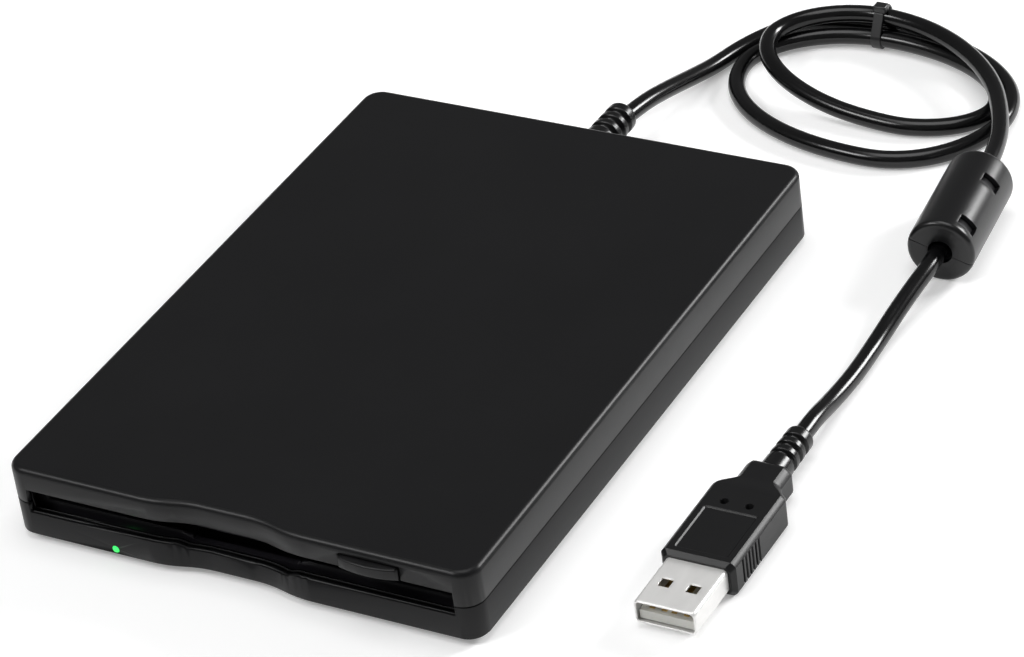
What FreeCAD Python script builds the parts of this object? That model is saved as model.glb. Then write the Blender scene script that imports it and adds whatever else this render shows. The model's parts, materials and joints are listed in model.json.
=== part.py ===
import FreeCAD, Part
import math
import os
import re
import Sketcher

# External floppy disk drive with its cord, ferrite and plug.
# Frame: origin on the floor under the middle of the drive, +X right, +Y to the back, +Z up.
# All sizes are in millimetres.

V = FreeCAD.Vector
doc = FreeCAD.newDocument("floppy_drive")

# Driving dimensions

DIMS = (
    ("case_width", 103.0, "case, side to side"),
    ("case_depth", 144.0, "case, front to back"),
    ("button_proud", 1.6, "eject button in front of the case, no disk in"),
    ("foot_height", 1.2, "rubber foot below the case"),
    ("case_height", 15.8, "case without feet"),
    ("wall", 1.5, "shell wall"),
    ("corner_radius", 4.2, "upright corners of the case"),
    ("top_round", 1.4, "rounding of the top edges"),
    ("bottom_round", 0.6, "bevel of the bottom edges"),
    ("seam_level", 9.1, "parting line above the floor"),
    ("seam_gap", 0.3, "shadow gap between the shells"),
    ("lip_thick", 0.7, "tongue inside the parting line"),
    ("lip_height", 1.4, "tongue above the lower shell"),
    ("scoop_middle", -2.5, "finger scoop in the front, its x"),
    ("scoop_flat", 9.0, "straight bottom of the scoop"),
    ("scoop_run", 13.5, "each sloping side of the scoop"),
    ("scoop_depth", 1.8, "depth of the scoop"),
    ("slot_half", 47.0, "half width of the disk slot"),
    ("slot_low", 6.9, "lower edge of the slot above the floor"),
    ("slot_high", 12.3, "upper edge of the slot"),
    ("notch_middle", -1.0, "finger notch in the slot's lower edge, its x"),
    ("notch_flat", 21.0, "flat bottom of the notch"),
    ("notch_run", 3.6, "each sloping side of the notch"),
    ("notch_depth", 1.0, "depth of the notch"),
    ("button_middle", 29.6, "eject button, its x"),
    ("button_width", 12.8, "eject button, side to side"),
    ("button_low", 12.4, "underside of the button"),
    ("button_high", 15.0, "top of the button"),
    ("button_crown", 0.9, "bow of the button's front in plan"),
    ("button_play", 0.3, "gap round the button"),
    ("eject_travel", 4.5, "slider travel from empty to loaded"),
    ("eject_over", 0.4, "further press at the empty end"),
    ("carrier_drop", 2.0, "drop of the disk carrier"),
    ("led_x", -28.2, "light pipe, its x"),
    ("led_level", 2.75, "light pipe above the floor"),
    ("led_radius", 0.8, "light pipe"),
    ("foot_radius", 4.5, "rubber foot"),
    ("foot_x", 41.0, "feet from the middle"),
    ("foot_y", 60.0, "feet from the middle"),
    ("screw_x", 45.4, "rear case screws from the middle"),
    ("screw_y", 66.8, "rear case screws behind the middle"),
    ("boss_radius", 2.9, "screw boss"),
    ("cord_diameter", 3.8, "cord jacket"),
    ("cord_level", 9.3, "cord axis where it leaves the back wall"),
    ("boot_radius", 3.7, "strain relief at the wall"),
    ("boot_tip_radius", 3.3, "strain relief at its tip"),
    ("boot_length", 17.0, "strain relief outside the wall"),
    ("sheet_steel", 0.6, "steel of carrier, slider and walls"),
    ("chassis_half", 48.5, "half width of the chassis"),
    ("plate_low", 3.8, "underside of the chassis plate"),
    ("plate_thick", 0.8, "chassis plate"),
    ("pin_radius", 0.8, "carrier side pin"),
    ("pin_level", 10.5, "carrier side pin, no disk in"),
    ("front_pin_y", -40.0, "front carrier pins"),
    ("rear_pin_y", 10.0, "rear carrier pins"),
    ("spindle_y", -20.0, "spindle axis"),
    ("head_stroke", 15.0, "travel of the head carriage"),
    ("head_y", 20.0, "heads at the outermost track"),
    ("rod_x", 8.5, "guide rods from the middle"),
    ("rod_level", 6.4, "guide rods above the floor"),
    ("rod_radius", 0.9, "guide rod"),
    ("screw_shaft_x", 14.5, "lead screw, its x"),
    ("screw_shaft_level", 8.0, "lead screw above the floor"),
    ("screw_shaft_radius", 1.2, "lead screw"),
    ("motor_radius", 4.7, "stepper motor can"),
    ("arm_pin_y", 51.0, "upper arm hinge"),
    ("arm_pin_level", 10.9, "upper arm hinge above the floor"),
    ("arm_lift", 5.8, "upper arm raised, degrees"),
    ("door_axis_y", -64.2, "dust door hinge"),
    ("door_axis_level", 12.2, "dust door hinge above the floor"),
    ("ferrite_radius", 7.1, "ferrite case"),
    ("ferrite_length", 28.0, "ferrite case"),
    ("ferrite_x", 82.4, "ferrite, its middle"),
    ("ferrite_y", 79.4, "ferrite, its middle"),
    ("ferrite_turn", 5.8, "ferrite axis off the front-back line, degrees"),
    ("plug_x", 81.6, "plug axis"),
    ("plug_level", 3.9, "plug axis above the floor"),
    ("plug_cord_y", 3.4, "where the cord enters the plug's boot"),
    ("plug_boot", 13.4, "plug boot, length"),
    ("plug_neck", 9.4, "plug shoulder, length"),
    ("plug_grip", 22.4, "plug grip, length"),
    ("plug_width", 15.4, "plug grip, width"),
    ("plug_thick", 7.6, "plug grip, thickness"),
    ("shell_width", 12.0, "metal shell"),
    ("shell_height", 4.5, "metal shell"),
    ("shell_length", 13.4, "metal shell outside the grip"),
    ("shell_steel", 0.3, "metal shell sheet"),
)

sheet = doc.addObject("Spreadsheet::Sheet", "Dims")
for row, (alias, amount, note) in enumerate(DIMS, start=1):
    sheet.set("A%d" % row, note)
    sheet.set("B%d" % row, str(amount))
    sheet.setAlias("B%d" % row, alias)
doc.recompute()

ALIASES = {alias for alias, amount, note in DIMS}
WHOLE = {
    "front_y": "(button_proud - case_depth) / 2",
    "back_y": "(button_proud + case_depth) / 2",
    "case_top": "(foot_height + case_height)",
    "case_floor": "(foot_height + wall)",
    "case_ceiling": "(foot_height + case_height - wall)",
    "plate_top": "(plate_low + plate_thick)",
}


def bound(text):
    """An expression on named sizes, written as the document's sheet has it."""
    for word, meaning in WHOLE.items():
        text = re.sub(r"\b%s\b" % word, "(%s)" % meaning, text)
    return re.sub(r"[a-z_]+", lambda m: "Dims." + m.group(0) if m.group(0) in ALIASES else m.group(0), text)


def size(text):
    """The number that an expression on named sizes comes to."""
    return float(sheet.evalExpression(bound(text)))


# Plain solids and how they are joined

TURNS = {
    "x": FreeCAD.Rotation(V(0, 1, 0), 90),
    "y": FreeCAD.Rotation(V(1, 0, 0), -90),
    "z": FreeCAD.Rotation(),
}
pieces = []


def place(thing, x, y, z):
    """Binds the place of a solid to three expressions."""
    for axis, text in (("x", x), ("y", y), ("z", z)):
        thing.setExpression("Placement.Base." + axis, bound(str(text)))


def block(name, xs, ys, zs):
    """A box from low to high x, y and z."""
    solid = doc.addObject("Part::Box", name)
    for side, ends in (("Length", xs), ("Width", ys), ("Height", zs)):
        solid.setExpression(side, bound("(%s) - (%s)" % (ends[1], ends[0])))
    place(solid, xs[0], ys[0], zs[0])
    return solid


def rod(name, axis, radius, start, length):
    """A round bar from a start point, along +x, +y or +z."""
    solid = doc.addObject("Part::Cylinder", name)
    solid.Placement = FreeCAD.Placement(V(), TURNS[axis])
    solid.setExpression("Radius", bound(str(radius)))
    solid.setExpression("Height", bound(str(length)))
    place(solid, *start)
    return solid


def fuse(name, *solids):
    """One solid of several that touch or overlap."""
    result = doc.addObject("Part::MultiFuse", name)
    result.Shapes = list(solids)
    result.Refine = True
    return result


def cut(name, base, *tools):
    """A solid less its tools."""
    result = doc.addObject("Part::Cut", name)
    result.Base = base
    result.Tool = tools[0] if len(tools) == 1 else fuse(name + "_tools", *tools)
    result.Refine = True
    return result


def group(name, *solids):
    """Several separate solids in one node."""
    result = doc.addObject("Part::Compound", name)
    result.Links = list(solids)
    return result


def finish(label, solid):
    """Names a sub-part and puts it on the list that is written out."""
    solid.Label = label
    pieces.append(solid)
    return solid


def part_feature(label, shape):
    """A sub-part whose shape is worked out from the sheet's sizes."""
    solid = doc.addObject("Part::Feature", label)
    solid.Shape = shape
    return finish(label, solid)


# Bodies made from sketches

def origin_plane(body, role):
    """One of a body's own origin planes."""
    return next(item for item in body.Origin.OriginFeatures if item.Role == role)


def new_sketch(body, name, role, level="0"):
    """An empty sketch on an origin plane, at a height along its normal."""
    sketch = body.newObject("Sketcher::SketchObject", name)
    sketch.AttachmentSupport = (origin_plane(body, role), [""])
    sketch.MapMode = "FlatFace"
    sketch.setExpression("AttachmentOffset.Base.z", bound(level))
    return sketch


def line(start, end):
    """One straight stretch of an outline."""
    return ("line", V(*start, 0), V(*end, 0))


def arc(centre, start, end, left):
    """One round stretch of an outline, turning left or right."""
    return ("arc", V(*start, 0), V(*end, 0), V(*centre, 0), left)


def draw(sketch, outline, smooth):
    """Lays an outline's stretches end to end and closes it.

    Joins are tangent where smooth says so, and upright and level lines stay so.
    """
    first = sketch.GeometryCount
    ends = []
    for stretch in outline:
        kind, start, end = stretch[:3]
        if kind == "line":
            index = sketch.addGeometry(Part.LineSegment(start, end), False)
            ends.append((index, 1, 2))
            if abs(start.x - end.x) < 1e-6:
                sketch.addConstraint(Sketcher.Constraint("Vertical", index))
            elif abs(start.y - end.y) < 1e-6:
                sketch.addConstraint(Sketcher.Constraint("Horizontal", index))
            continue
        centre, left = stretch[3:]
        circle = Part.Circle(centre, V(0, 0, 1), (start - centre).Length)
        low, high = (start, end) if left else (end, start)
        low_angle = math.atan2(low.y - centre.y, low.x - centre.x)
        high_angle = math.atan2(high.y - centre.y, high.x - centre.x)
        if high_angle < low_angle:
            high_angle += 2 * math.pi
        index = sketch.addGeometry(Part.ArcOfCircle(circle, low_angle, high_angle), False)
        ends.append((index, 1, 2) if left else (index, 2, 1))
    for place_in_row, (index, start_end, far_end) in enumerate(ends):
        after, after_start, after_far = ends[(place_in_row + 1) % len(ends)]
        kind = "Tangent" if smooth[place_in_row] else "Coincident"
        sketch.addConstraint(Sketcher.Constraint(kind, index, far_end, after, after_start))
    return first


def hold(sketch, kind, index, point, name, text):
    """Binds a radius, or a point's x or y, to an expression."""
    if kind == "Radius":
        number = sketch.addConstraint(Sketcher.Constraint("Radius", index, size(text)))
    else:
        number = sketch.addConstraint(Sketcher.Constraint(kind, -1, 1, index, point, size(text)))
    sketch.renameConstraint(number, name)
    sketch.setExpression("Constraints." + name, bound(text))


def rectangle(sketch, name, xs, ys):
    """A rectangle with each side bound to an expression."""
    low_x, high_x = size(xs[0]), size(xs[1])
    low_y, high_y = size(ys[0]), size(ys[1])
    corners = ((low_x, low_y), (high_x, low_y), (high_x, high_y), (low_x, high_y))
    sides = [line(corners[k], corners[(k + 1) % 4]) for k in range(4)]
    first = draw(sketch, sides, [False] * 4)
    hold(sketch, "DistanceX", first, 1, name + "_left", xs[0])
    hold(sketch, "DistanceX", first, 2, name + "_right", xs[1])
    hold(sketch, "DistanceY", first, 1, name + "_low", ys[0])
    hold(sketch, "DistanceY", first + 2, 1, name + "_high", ys[1])


def circle(sketch, name, x, y, radius):
    """A circle with its place and size bound to expressions."""
    index = sketch.addGeometry(Part.Circle(V(size(x), size(y), 0), V(0, 0, 1), size(radius)), False)
    hold(sketch, "Radius", index, 0, name + "_radius", radius)
    hold(sketch, "DistanceX", index, 3, name + "_x", x)
    hold(sketch, "DistanceY", index, 3, name + "_y", y)


def pad(body, sketch, name, length, reversed_way=False):
    """Raises a sketch along its normal."""
    feature = body.newObject("PartDesign::Pad", name)
    feature.Profile = sketch
    feature.setExpression("Length", bound(length))
    feature.Reversed = reversed_way
    doc.recompute()
    return feature


def pocket(body, sketch, name, length, along_normal=False):
    """Sinks a sketch into the body, against its normal unless told otherwise."""
    before = body.Tip.Shape.Volume
    feature = body.newObject("PartDesign::Pocket", name)
    feature.Profile = sketch
    feature.setExpression("Length", bound(length))
    feature.Reversed = along_normal
    doc.recompute()
    if feature.Shape.Volume > before - 1e-3:
        raise ValueError("%s cuts nothing" % name)
    return feature


def edges_where(shape, test):
    """The names of the edges whose middle passes a test."""
    names = []
    for number, edge in enumerate(shape.Edges, start=1):
        middle = edge.valueAt((edge.FirstParameter + edge.LastParameter) / 2)
        if test(middle, edge):
            names.append("Edge%d" % number)
    return names


def fillet(body, name, radius, test):
    """Rounds the edges of the body so far that pass a test."""
    base = body.Tip
    feature = body.newObject("PartDesign::Fillet", name)
    feature.Base = (base, edges_where(base.Shape, test))
    feature.setExpression("Radius", bound(radius))
    doc.recompute()
    return feature


def bevel(body, name, depth, test):
    """Bevels the edges of the body so far that pass a test."""
    base = body.Tip
    feature = body.newObject("PartDesign::Chamfer", name)
    feature.Base = (base, edges_where(base.Shape, test))
    feature.setExpression("Size", bound(depth))
    doc.recompute()
    return feature


# Case shells

def wave_stretches(base, middle, flat, run, depth, radius_in, radius_out):
    """A dip in a level line, walked to the right: slope down, straight bottom, slope up.

    Each slope is two arcs that bend opposite ways and meet half way. The depth is
    positive towards +y, and the two radii are those of the outer and the bottom arcs.
    """
    left = middle - flat / 2
    right = middle + flat / 2
    share = radius_out / (radius_out + radius_in)
    outer_y = base + radius_out
    inner_y = base + depth - radius_in
    knee_y = outer_y + (inner_y - outer_y) * share
    knee_left = (left - run) + run * share
    knee_right = (right + run) - run * share
    return [
        arc((left - run, outer_y), (left - run, base), (knee_left, knee_y), True),
        arc((left, inner_y), (knee_left, knee_y), (left, base + depth), False),
        line((left, base + depth), (right, base + depth)),
        arc((right, inner_y), (right, base + depth), (knee_right, knee_y), False),
        arc((right + run, outer_y), (knee_right, knee_y), (right + run, base), True),
    ]


def slope_radius(run, depth):
    """Radius of two equal arcs that carry a slope of a given run and depth."""
    return "((%s) * (%s) + (%s) * (%s)) / (4 * (%s))" % (run, run, depth, depth, depth)


def case_outline(sketch, inset):
    """The case seen from above, moved inwards by an inset: the front edge dips in."""
    half = "case_width / 2 - (%s)" % inset
    front = "front_y + (%s)" % inset
    back = "back_y - (%s)" % inset
    corner = "corner_radius - (%s)" % inset
    bend = slope_radius("scoop_run", "scoop_depth")
    outer_bend = "%s - (%s)" % (bend, inset)
    inner_bend = "%s + (%s)" % (bend, inset)
    w, f, b, r = size(half), size(front), size(back), size(corner)
    dip = wave_stretches(f, size("scoop_middle"), size("scoop_flat"), size("scoop_run"),
                         size("scoop_depth"), size(inner_bend), size(outer_bend))
    outline = [line((-w + r, f), (dip[0][1].x, f))]
    outline += dip
    outline += [
        line((dip[4][2].x, f), (w - r, f)),
        arc((w - r, f + r), (w - r, f), (w, f + r), True),
        line((w, f + r), (w, b - r)),
        arc((w - r, b - r), (w, b - r), (w - r, b), True),
        line((w - r, b), (-w + r, b)),
        arc((-w + r, b - r), (-w + r, b), (-w, b - r), True),
        line((-w, b - r), (-w, f + r)),
        arc((-w + r, f + r), (-w, f + r), (-w + r, f), True),
    ]
    first = draw(sketch, outline, [True] * len(outline))
    mark = "_%d" % first
    for index in (7, 9, 11, 13):
        hold(sketch, "Radius", first + index, 0, "corner_%d%s" % (index, mark), corner)
    for index in (1, 5):
        hold(sketch, "Radius", first + index, 0, "outer_bend_%d%s" % (index, mark), outer_bend)
    for index in (2, 4):
        hold(sketch, "Radius", first + index, 0, "inner_bend_%d%s" % (index, mark), inner_bend)
    hold(sketch, "DistanceY", first, 1, "front_left" + mark, front)
    hold(sketch, "DistanceY", first + 6, 2, "front_right" + mark, front)
    hold(sketch, "DistanceX", first + 8, 1, "right_side" + mark, half)
    hold(sketch, "DistanceX", first + 12, 1, "left_side" + mark, "-(%s)" % half)
    hold(sketch, "DistanceY", first + 10, 1, "back_side" + mark, back)
    hold(sketch, "DistanceY", first + 3, 1, "scoop_bottom" + mark, "%s + scoop_depth" % front)
    hold(sketch, "DistanceX", first + 3, 1, "scoop_left" + mark, "scoop_middle - scoop_flat / 2")
    hold(sketch, "DistanceX", first + 3, 2, "scoop_right" + mark, "scoop_middle + scoop_flat / 2")


def slot_outline(sketch, name, start, end, radius):
    """A slot with round ends, from the middle of one end to the middle of the other."""
    low = V(size(start[0]), size(start[1]), 0)
    high = V(size(end[0]), size(end[1]), 0)
    way = (high - low).normalize()
    side = V(-way.y, way.x, 0) * size(radius)
    a, b, c, d = low - side, high - side, high + side, low + side
    outline = [
        line((a.x, a.y), (b.x, b.y)),
        arc((high.x, high.y), (b.x, b.y), (c.x, c.y), True),
        line((c.x, c.y), (d.x, d.y)),
        arc((low.x, low.y), (d.x, d.y), (a.x, a.y), True),
    ]
    first = draw(sketch, outline, [True] * 4)
    hold(sketch, "Radius", first + 1, 0, name + "_radius", radius)
    for number, point, place_text in ((first + 1, "high", end), (first + 3, "low", start)):
        hold(sketch, "DistanceY", number, 3, "%s_%s_y" % (name, point), place_text[1])
    if abs(way.x) > 1e-6:
        hold(sketch, "Radius", first + 3, 0, name + "_far_radius", radius)
        hold(sketch, "DistanceX", first + 1, 3, name + "_high_x", end[0])
    hold(sketch, "DistanceX", first + 3, 3, name + "_low_x", start[0])


def front_sketch(body, name, behind):
    """A sketch seen from the front, x to the right and z up, a distance behind the front."""
    return new_sketch(body, name, "XZ_Plane", "-(front_y + (%s))" % behind)


def notched_opening(sketch, name, half, low, high):
    """An opening with a finger notch in its lower edge."""
    bend = slope_radius("notch_run", "notch_depth")
    x, z, top = size(half), size(low), size(high)
    dip = wave_stretches(-z, size("notch_middle"), size("notch_flat"), size("notch_run"),
                         size("notch_depth"), size(bend), size(bend))
    lower = []
    for stretch in dip:
        if stretch[0] == "line":
            lower.append(line((stretch[1].x, -stretch[1].y), (stretch[2].x, -stretch[2].y)))
        else:
            lower.append(arc((stretch[3].x, -stretch[3].y), (stretch[1].x, -stretch[1].y),
                             (stretch[2].x, -stretch[2].y), not stretch[4]))
    outline = [line((-x, z), (dip[0][1].x, z))] + lower
    outline += [
        line((dip[4][2].x, z), (x, z)),
        line((x, z), (x, top)),
        line((x, top), (-x, top)),
        line((-x, top), (-x, z)),
    ]
    first = draw(sketch, outline, [True] * 6 + [False] * 4)
    for index in (1, 2, 4, 5):
        hold(sketch, "Radius", first + index, 0, "%s_bend_%d" % (name, index), bend)
    hold(sketch, "DistanceX", first, 1, name + "_left", "-(%s)" % half)
    hold(sketch, "DistanceX", first + 6, 2, name + "_right", half)
    hold(sketch, "DistanceY", first, 1, name + "_low", low)
    hold(sketch, "DistanceY", first + 6, 2, name + "_low_right", low)
    hold(sketch, "DistanceY", first + 8, 1, name + "_high", high)
    hold(sketch, "DistanceY", first + 3, 1, name + "_notch", "%s - notch_depth" % low)
    hold(sketch, "DistanceX", first + 3, 1, name + "_notch_left", "notch_middle - notch_flat / 2")
    hold(sketch, "DistanceX", first + 3, 2, name + "_notch_right", "notch_middle + notch_flat / 2")


def top_cover():
    """Upper shell: a tray turned over, with half of the slot and the button's window."""
    body = doc.addObject("PartDesign::Body", "top_cover")
    low = "seam_level + seam_gap / 2"
    outer = new_sketch(body, "top_outline", "XY_Plane", low)
    case_outline(outer, "0")
    pad(body, outer, "top_block", "case_top - seam_level - seam_gap / 2")
    top = size("case_top")
    fillet(body, "top_rounding", "top_round", lambda at, edge: abs(at.z - top) < 1e-3)
    inner = new_sketch(body, "top_inside", "XY_Plane", low)
    case_outline(inner, "wall")
    pocket(body, inner, "top_hollow", "case_ceiling - seam_level - seam_gap / 2", True)
    slot = front_sketch(body, "top_slot", "8")
    rectangle(slot, "slot", ("-slot_half", "slot_half"), ("seam_level - 1", "slot_high"))
    pocket(body, slot, "top_slot_cut", "12", True)
    window = front_sketch(body, "button_window", "8")
    rectangle(window, "window", ("button_middle - button_width / 2 - button_play",
                                 "button_middle + button_width / 2 + button_play"),
              ("slot_high - 0.5", "button_high + button_play"))
    pocket(body, window, "button_window_cut", "12", True)
    hollow = new_sketch(body, "boot_hollow", "XZ_Plane", "-(back_y + 1)")
    circle(hollow, "hollow", "0", "cord_level", "boot_radius + 0.1")
    pocket(body, hollow, "boot_hollow_cut", "5", True)
    bosses = new_sketch(body, "boss_rings", "XY_Plane", "seam_level - 2")
    for side, sign in (("left", "-"), ("right", "")):
        circle(bosses, "boss_" + side, sign + "screw_x", "screw_y", "boss_radius - 0.3")
        circle(bosses, "hole_" + side, sign + "screw_x", "screw_y", "0.95")
    pad(body, bosses, "boss_posts", "case_ceiling - seam_level + 2.2")
    return finish("top_cover", body)


def bottom_cover():
    """Lower shell: tray with the tongue, the notched half of the slot, posts and holes."""
    body = doc.addObject("PartDesign::Body", "bottom_cover")
    high = "seam_level - seam_gap / 2"
    outer = new_sketch(body, "bottom_outline", "XY_Plane", "foot_height")
    case_outline(outer, "0")
    pad(body, outer, "bottom_block", "seam_level - seam_gap / 2 - foot_height")
    low = size("foot_height")
    bevel(body, "bottom_bevel", "bottom_round", lambda at, edge: abs(at.z - low) < 1e-3)
    inner = new_sketch(body, "bottom_inside", "XY_Plane", high)
    case_outline(inner, "wall")
    pocket(body, inner, "bottom_hollow", "seam_level - seam_gap / 2 - case_floor")
    tongue = new_sketch(body, "tongue_outline", "XY_Plane", "case_floor - 0.2")
    case_outline(tongue, "wall + 0.1")
    case_outline(tongue, "wall + 0.1 + lip_thick")
    pad(body, tongue, "tongue_ring", "seam_level + lip_height - case_floor + 0.2")
    posts = new_sketch(body, "post_rings", "XY_Plane", "case_floor - 0.2")
    for side, sign in (("left", "-"), ("right", "")):
        circle(posts, "front_" + side, sign + "40", "-48", "2.6")
        circle(posts, "middle_" + side, sign + "40", "36", "2.6")
    pad(body, posts, "chassis_posts", "plate_low - case_floor + 0.2")
    rings = new_sketch(body, "screw_rings", "XY_Plane", "case_floor - 0.2")
    for side, sign in (("left", "-"), ("right", "")):
        circle(rings, "ring_" + side, sign + "screw_x", "screw_y", "boss_radius")
    pad(body, rings, "screw_posts", "seam_level - 2.2 - case_floor + 0.2")
    slot = front_sketch(body, "bottom_slot", "4.6")
    notched_opening(slot, "slot", "slot_half", "slot_low", "seam_level + 3")
    pocket(body, slot, "bottom_slot_cut", "9", True)
    holes = new_sketch(body, "post_holes", "XY_Plane", "plate_low")
    for side, sign in (("left", "-"), ("right", "")):
        circle(holes, "front_hole_" + side, sign + "40", "-48", "0.95")
        circle(holes, "middle_hole_" + side, sign + "40", "36", "0.95")
    pocket(body, holes, "post_bores", "2")
    shafts = new_sketch(body, "screw_holes", "XY_Plane", "seam_level")
    heads = new_sketch(body, "screw_heads", "XY_Plane", "foot_height - 1")
    for side, sign in (("left", "-"), ("right", "")):
        circle(shafts, "shaft_" + side, sign + "screw_x", "screw_y", "1.15")
        circle(heads, "head_" + side, sign + "screw_x", "screw_y", "2.1")
    pocket(body, shafts, "screw_bores", "seam_level")
    pocket(body, heads, "screw_recesses", "3.4", True)
    lamp = front_sketch(body, "lamp_hole", "6")
    circle(lamp, "lamp", "led_x", "led_level", "led_radius + 0.05")
    pocket(body, lamp, "lamp_bore", "10", True)
    hollow = new_sketch(body, "boot_hollow_low", "XZ_Plane", "-(back_y + 1)")
    circle(hollow, "hollow", "0", "cord_level", "boot_radius + 0.1")
    pocket(body, hollow, "boot_hollow_low_cut", "5", True)
    return finish("bottom_cover", body)


def rubber_feet():
    """Four round feet with a bevelled rim, one node."""
    feet = []
    for number, (x, y) in enumerate((("-foot_x", "-foot_y"), ("foot_x", "-foot_y"),
                                     ("-foot_x", "foot_y"), ("foot_x", "foot_y"))):
        foot = rod("foot_%d" % number, "z", "foot_radius", (x, y, "0"), "foot_height")
        soft = doc.addObject("Part::Chamfer", "foot_edge_%d" % number)
        doc.recompute()
        soft.Base = foot
        soft.Edges = [(int(name[4:]), 0.4, 0.4) for name in
                      edges_where(foot.Shape, lambda at, edge: abs(at.z) < 1e-3 and len(edge.Vertexes) == 1)]
        feet.append(soft)
    return finish("rubber_feet", group("feet", *feet))


def screws(label, places, head_low, head_high, shaft_low, shaft_high, head_radius, shaft_radius):
    """Cross-head screws of one kind, one node."""
    made = []
    for number, (x, y) in enumerate(places):
        name = "%s_%d" % (label, number)
        head = rod(name + "_head", "z", head_radius, (x, y, head_low), "(%s) - (%s)" % (head_high, head_low))
        shaft = rod(name + "_shaft", "z", shaft_radius, (x, y, shaft_low),
                    "(%s) - (%s)" % (shaft_high, shaft_low))
        made.append(fuse(name, head, shaft))
    return finish(label, group(label + "_group", *made))


def slot_bezel():
    """Inner frame of the slot, with the cheeks that carry the door's pins."""
    body = doc.addObject("PartDesign::Body", "slot_bezel")
    plate = front_sketch(body, "bezel_plate", "4.2")
    rectangle(plate, "plate", ("-47.9", "47.9"), ("case_floor", "slot_high"))
    pad(body, plate, "bezel_block", "1.3", True)
    cheeks = front_sketch(body, "bezel_cheeks", "5.5")
    rectangle(cheeks, "left", ("-47.9", "-45.7"), ("slot_low", "slot_high + 0.6"))
    rectangle(cheeks, "right", ("45.7", "47.9"), ("slot_low", "slot_high + 0.6"))
    pad(body, cheeks, "cheek_blocks", "2.8", True)
    opening = front_sketch(body, "bezel_opening", "6")
    notched_opening(opening, "opening", "slot_half - 1.3", "slot_low + 0.3", "slot_high - 0.5")
    pocket(body, opening, "bezel_opening_cut", "4", True)
    bore = new_sketch(body, "door_bore", "YZ_Plane", "-60")
    circle(bore, "bore", "door_axis_y", "door_axis_level", "0.5")
    pocket(body, bore, "door_bore_cut", "120", True)
    return finish("slot_bezel", body)


def dust_door():
    """Flap across the slot, hung on two pins at its top edge."""
    leaf = block("door_leaf", ("-45.3", "45.3"), ("door_axis_y - 0.4", "door_axis_y + 0.4"),
                 ("slot_low + 0.6", "door_axis_level"))
    barrel = rod("door_barrel", "x", "0.55", ("-45.3", "door_axis_y", "door_axis_level"), "90.6")
    pins = rod("door_pins", "x", "0.45", ("-47.1", "door_axis_y", "door_axis_level"), "94.2")
    rib = block("door_rib", ("-43", "43"), ("door_axis_y - 0.7", "door_axis_y"), ("slot_low + 0.9", "slot_low + 1.5"))
    return finish("dust_door", fuse("door", leaf, barrel, pins, rib))


def eject_button():
    """Bar-shaped button with a front bowed in plan and a slot for the slider's tab."""
    body = doc.addObject("PartDesign::Body", "eject_button")
    sketch = new_sketch(body, "button_plan", "XY_Plane", "button_low")
    half = size("button_width / 2")
    x = size("button_middle")
    front = size("front_y - button_proud")
    crown = size("button_crown")
    back = size("front_y + 5.6")
    radius = (half * half + crown * crown) / (2 * crown)
    outline = [
        line((x + half, front + crown), (x + half, back)),
        line((x + half, back), (x - half, back)),
        line((x - half, back), (x - half, front + crown)),
        arc((x, front + radius), (x - half, front + crown), (x + half, front + crown), True),
    ]
    first = draw(sketch, outline, [False] * 4)
    hold(sketch, "DistanceX", first, 1, "right_end", "button_middle + button_width / 2")
    hold(sketch, "DistanceX", first + 2, 2, "left_end", "button_middle - button_width / 2")
    hold(sketch, "DistanceY", first, 1, "right_front", "front_y - button_proud + button_crown")
    hold(sketch, "DistanceY", first, 2, "rear", "front_y + 5.6")
    hold(sketch, "DistanceY", first + 2, 2, "left_front", "front_y - button_proud + button_crown")
    hold(sketch, "Radius", first + 3, 0, "bow", "(button_width * button_width / 4 + button_crown "
         "* button_crown) / (2 * button_crown)")
    pad(body, sketch, "button_block", "button_high - button_low")
    high, low = size("button_high"), size("button_low")
    bow_front = size("front_y - button_proud + button_crown") + 0.01
    bevel(body, "button_edges", "0.4", lambda at, edge: at.y < bow_front
           and (abs(at.z - high) < 1e-3 or abs(at.z - low) < 1e-3 or len(edge.Vertexes) == 2
                and abs(edge.Vertexes[0].X - edge.Vertexes[1].X) < 1e-3))
    tab = new_sketch(body, "tab_slot", "XZ_Plane", "-(front_y + 5.7)")
    rectangle(tab, "tab", ("button_middle - 4.3", "button_middle + 4.3"), ("12.98", "13.82"))
    pocket(body, tab, "tab_slot_cut", "5.2", True)
    return finish("eject_button", body)


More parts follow.
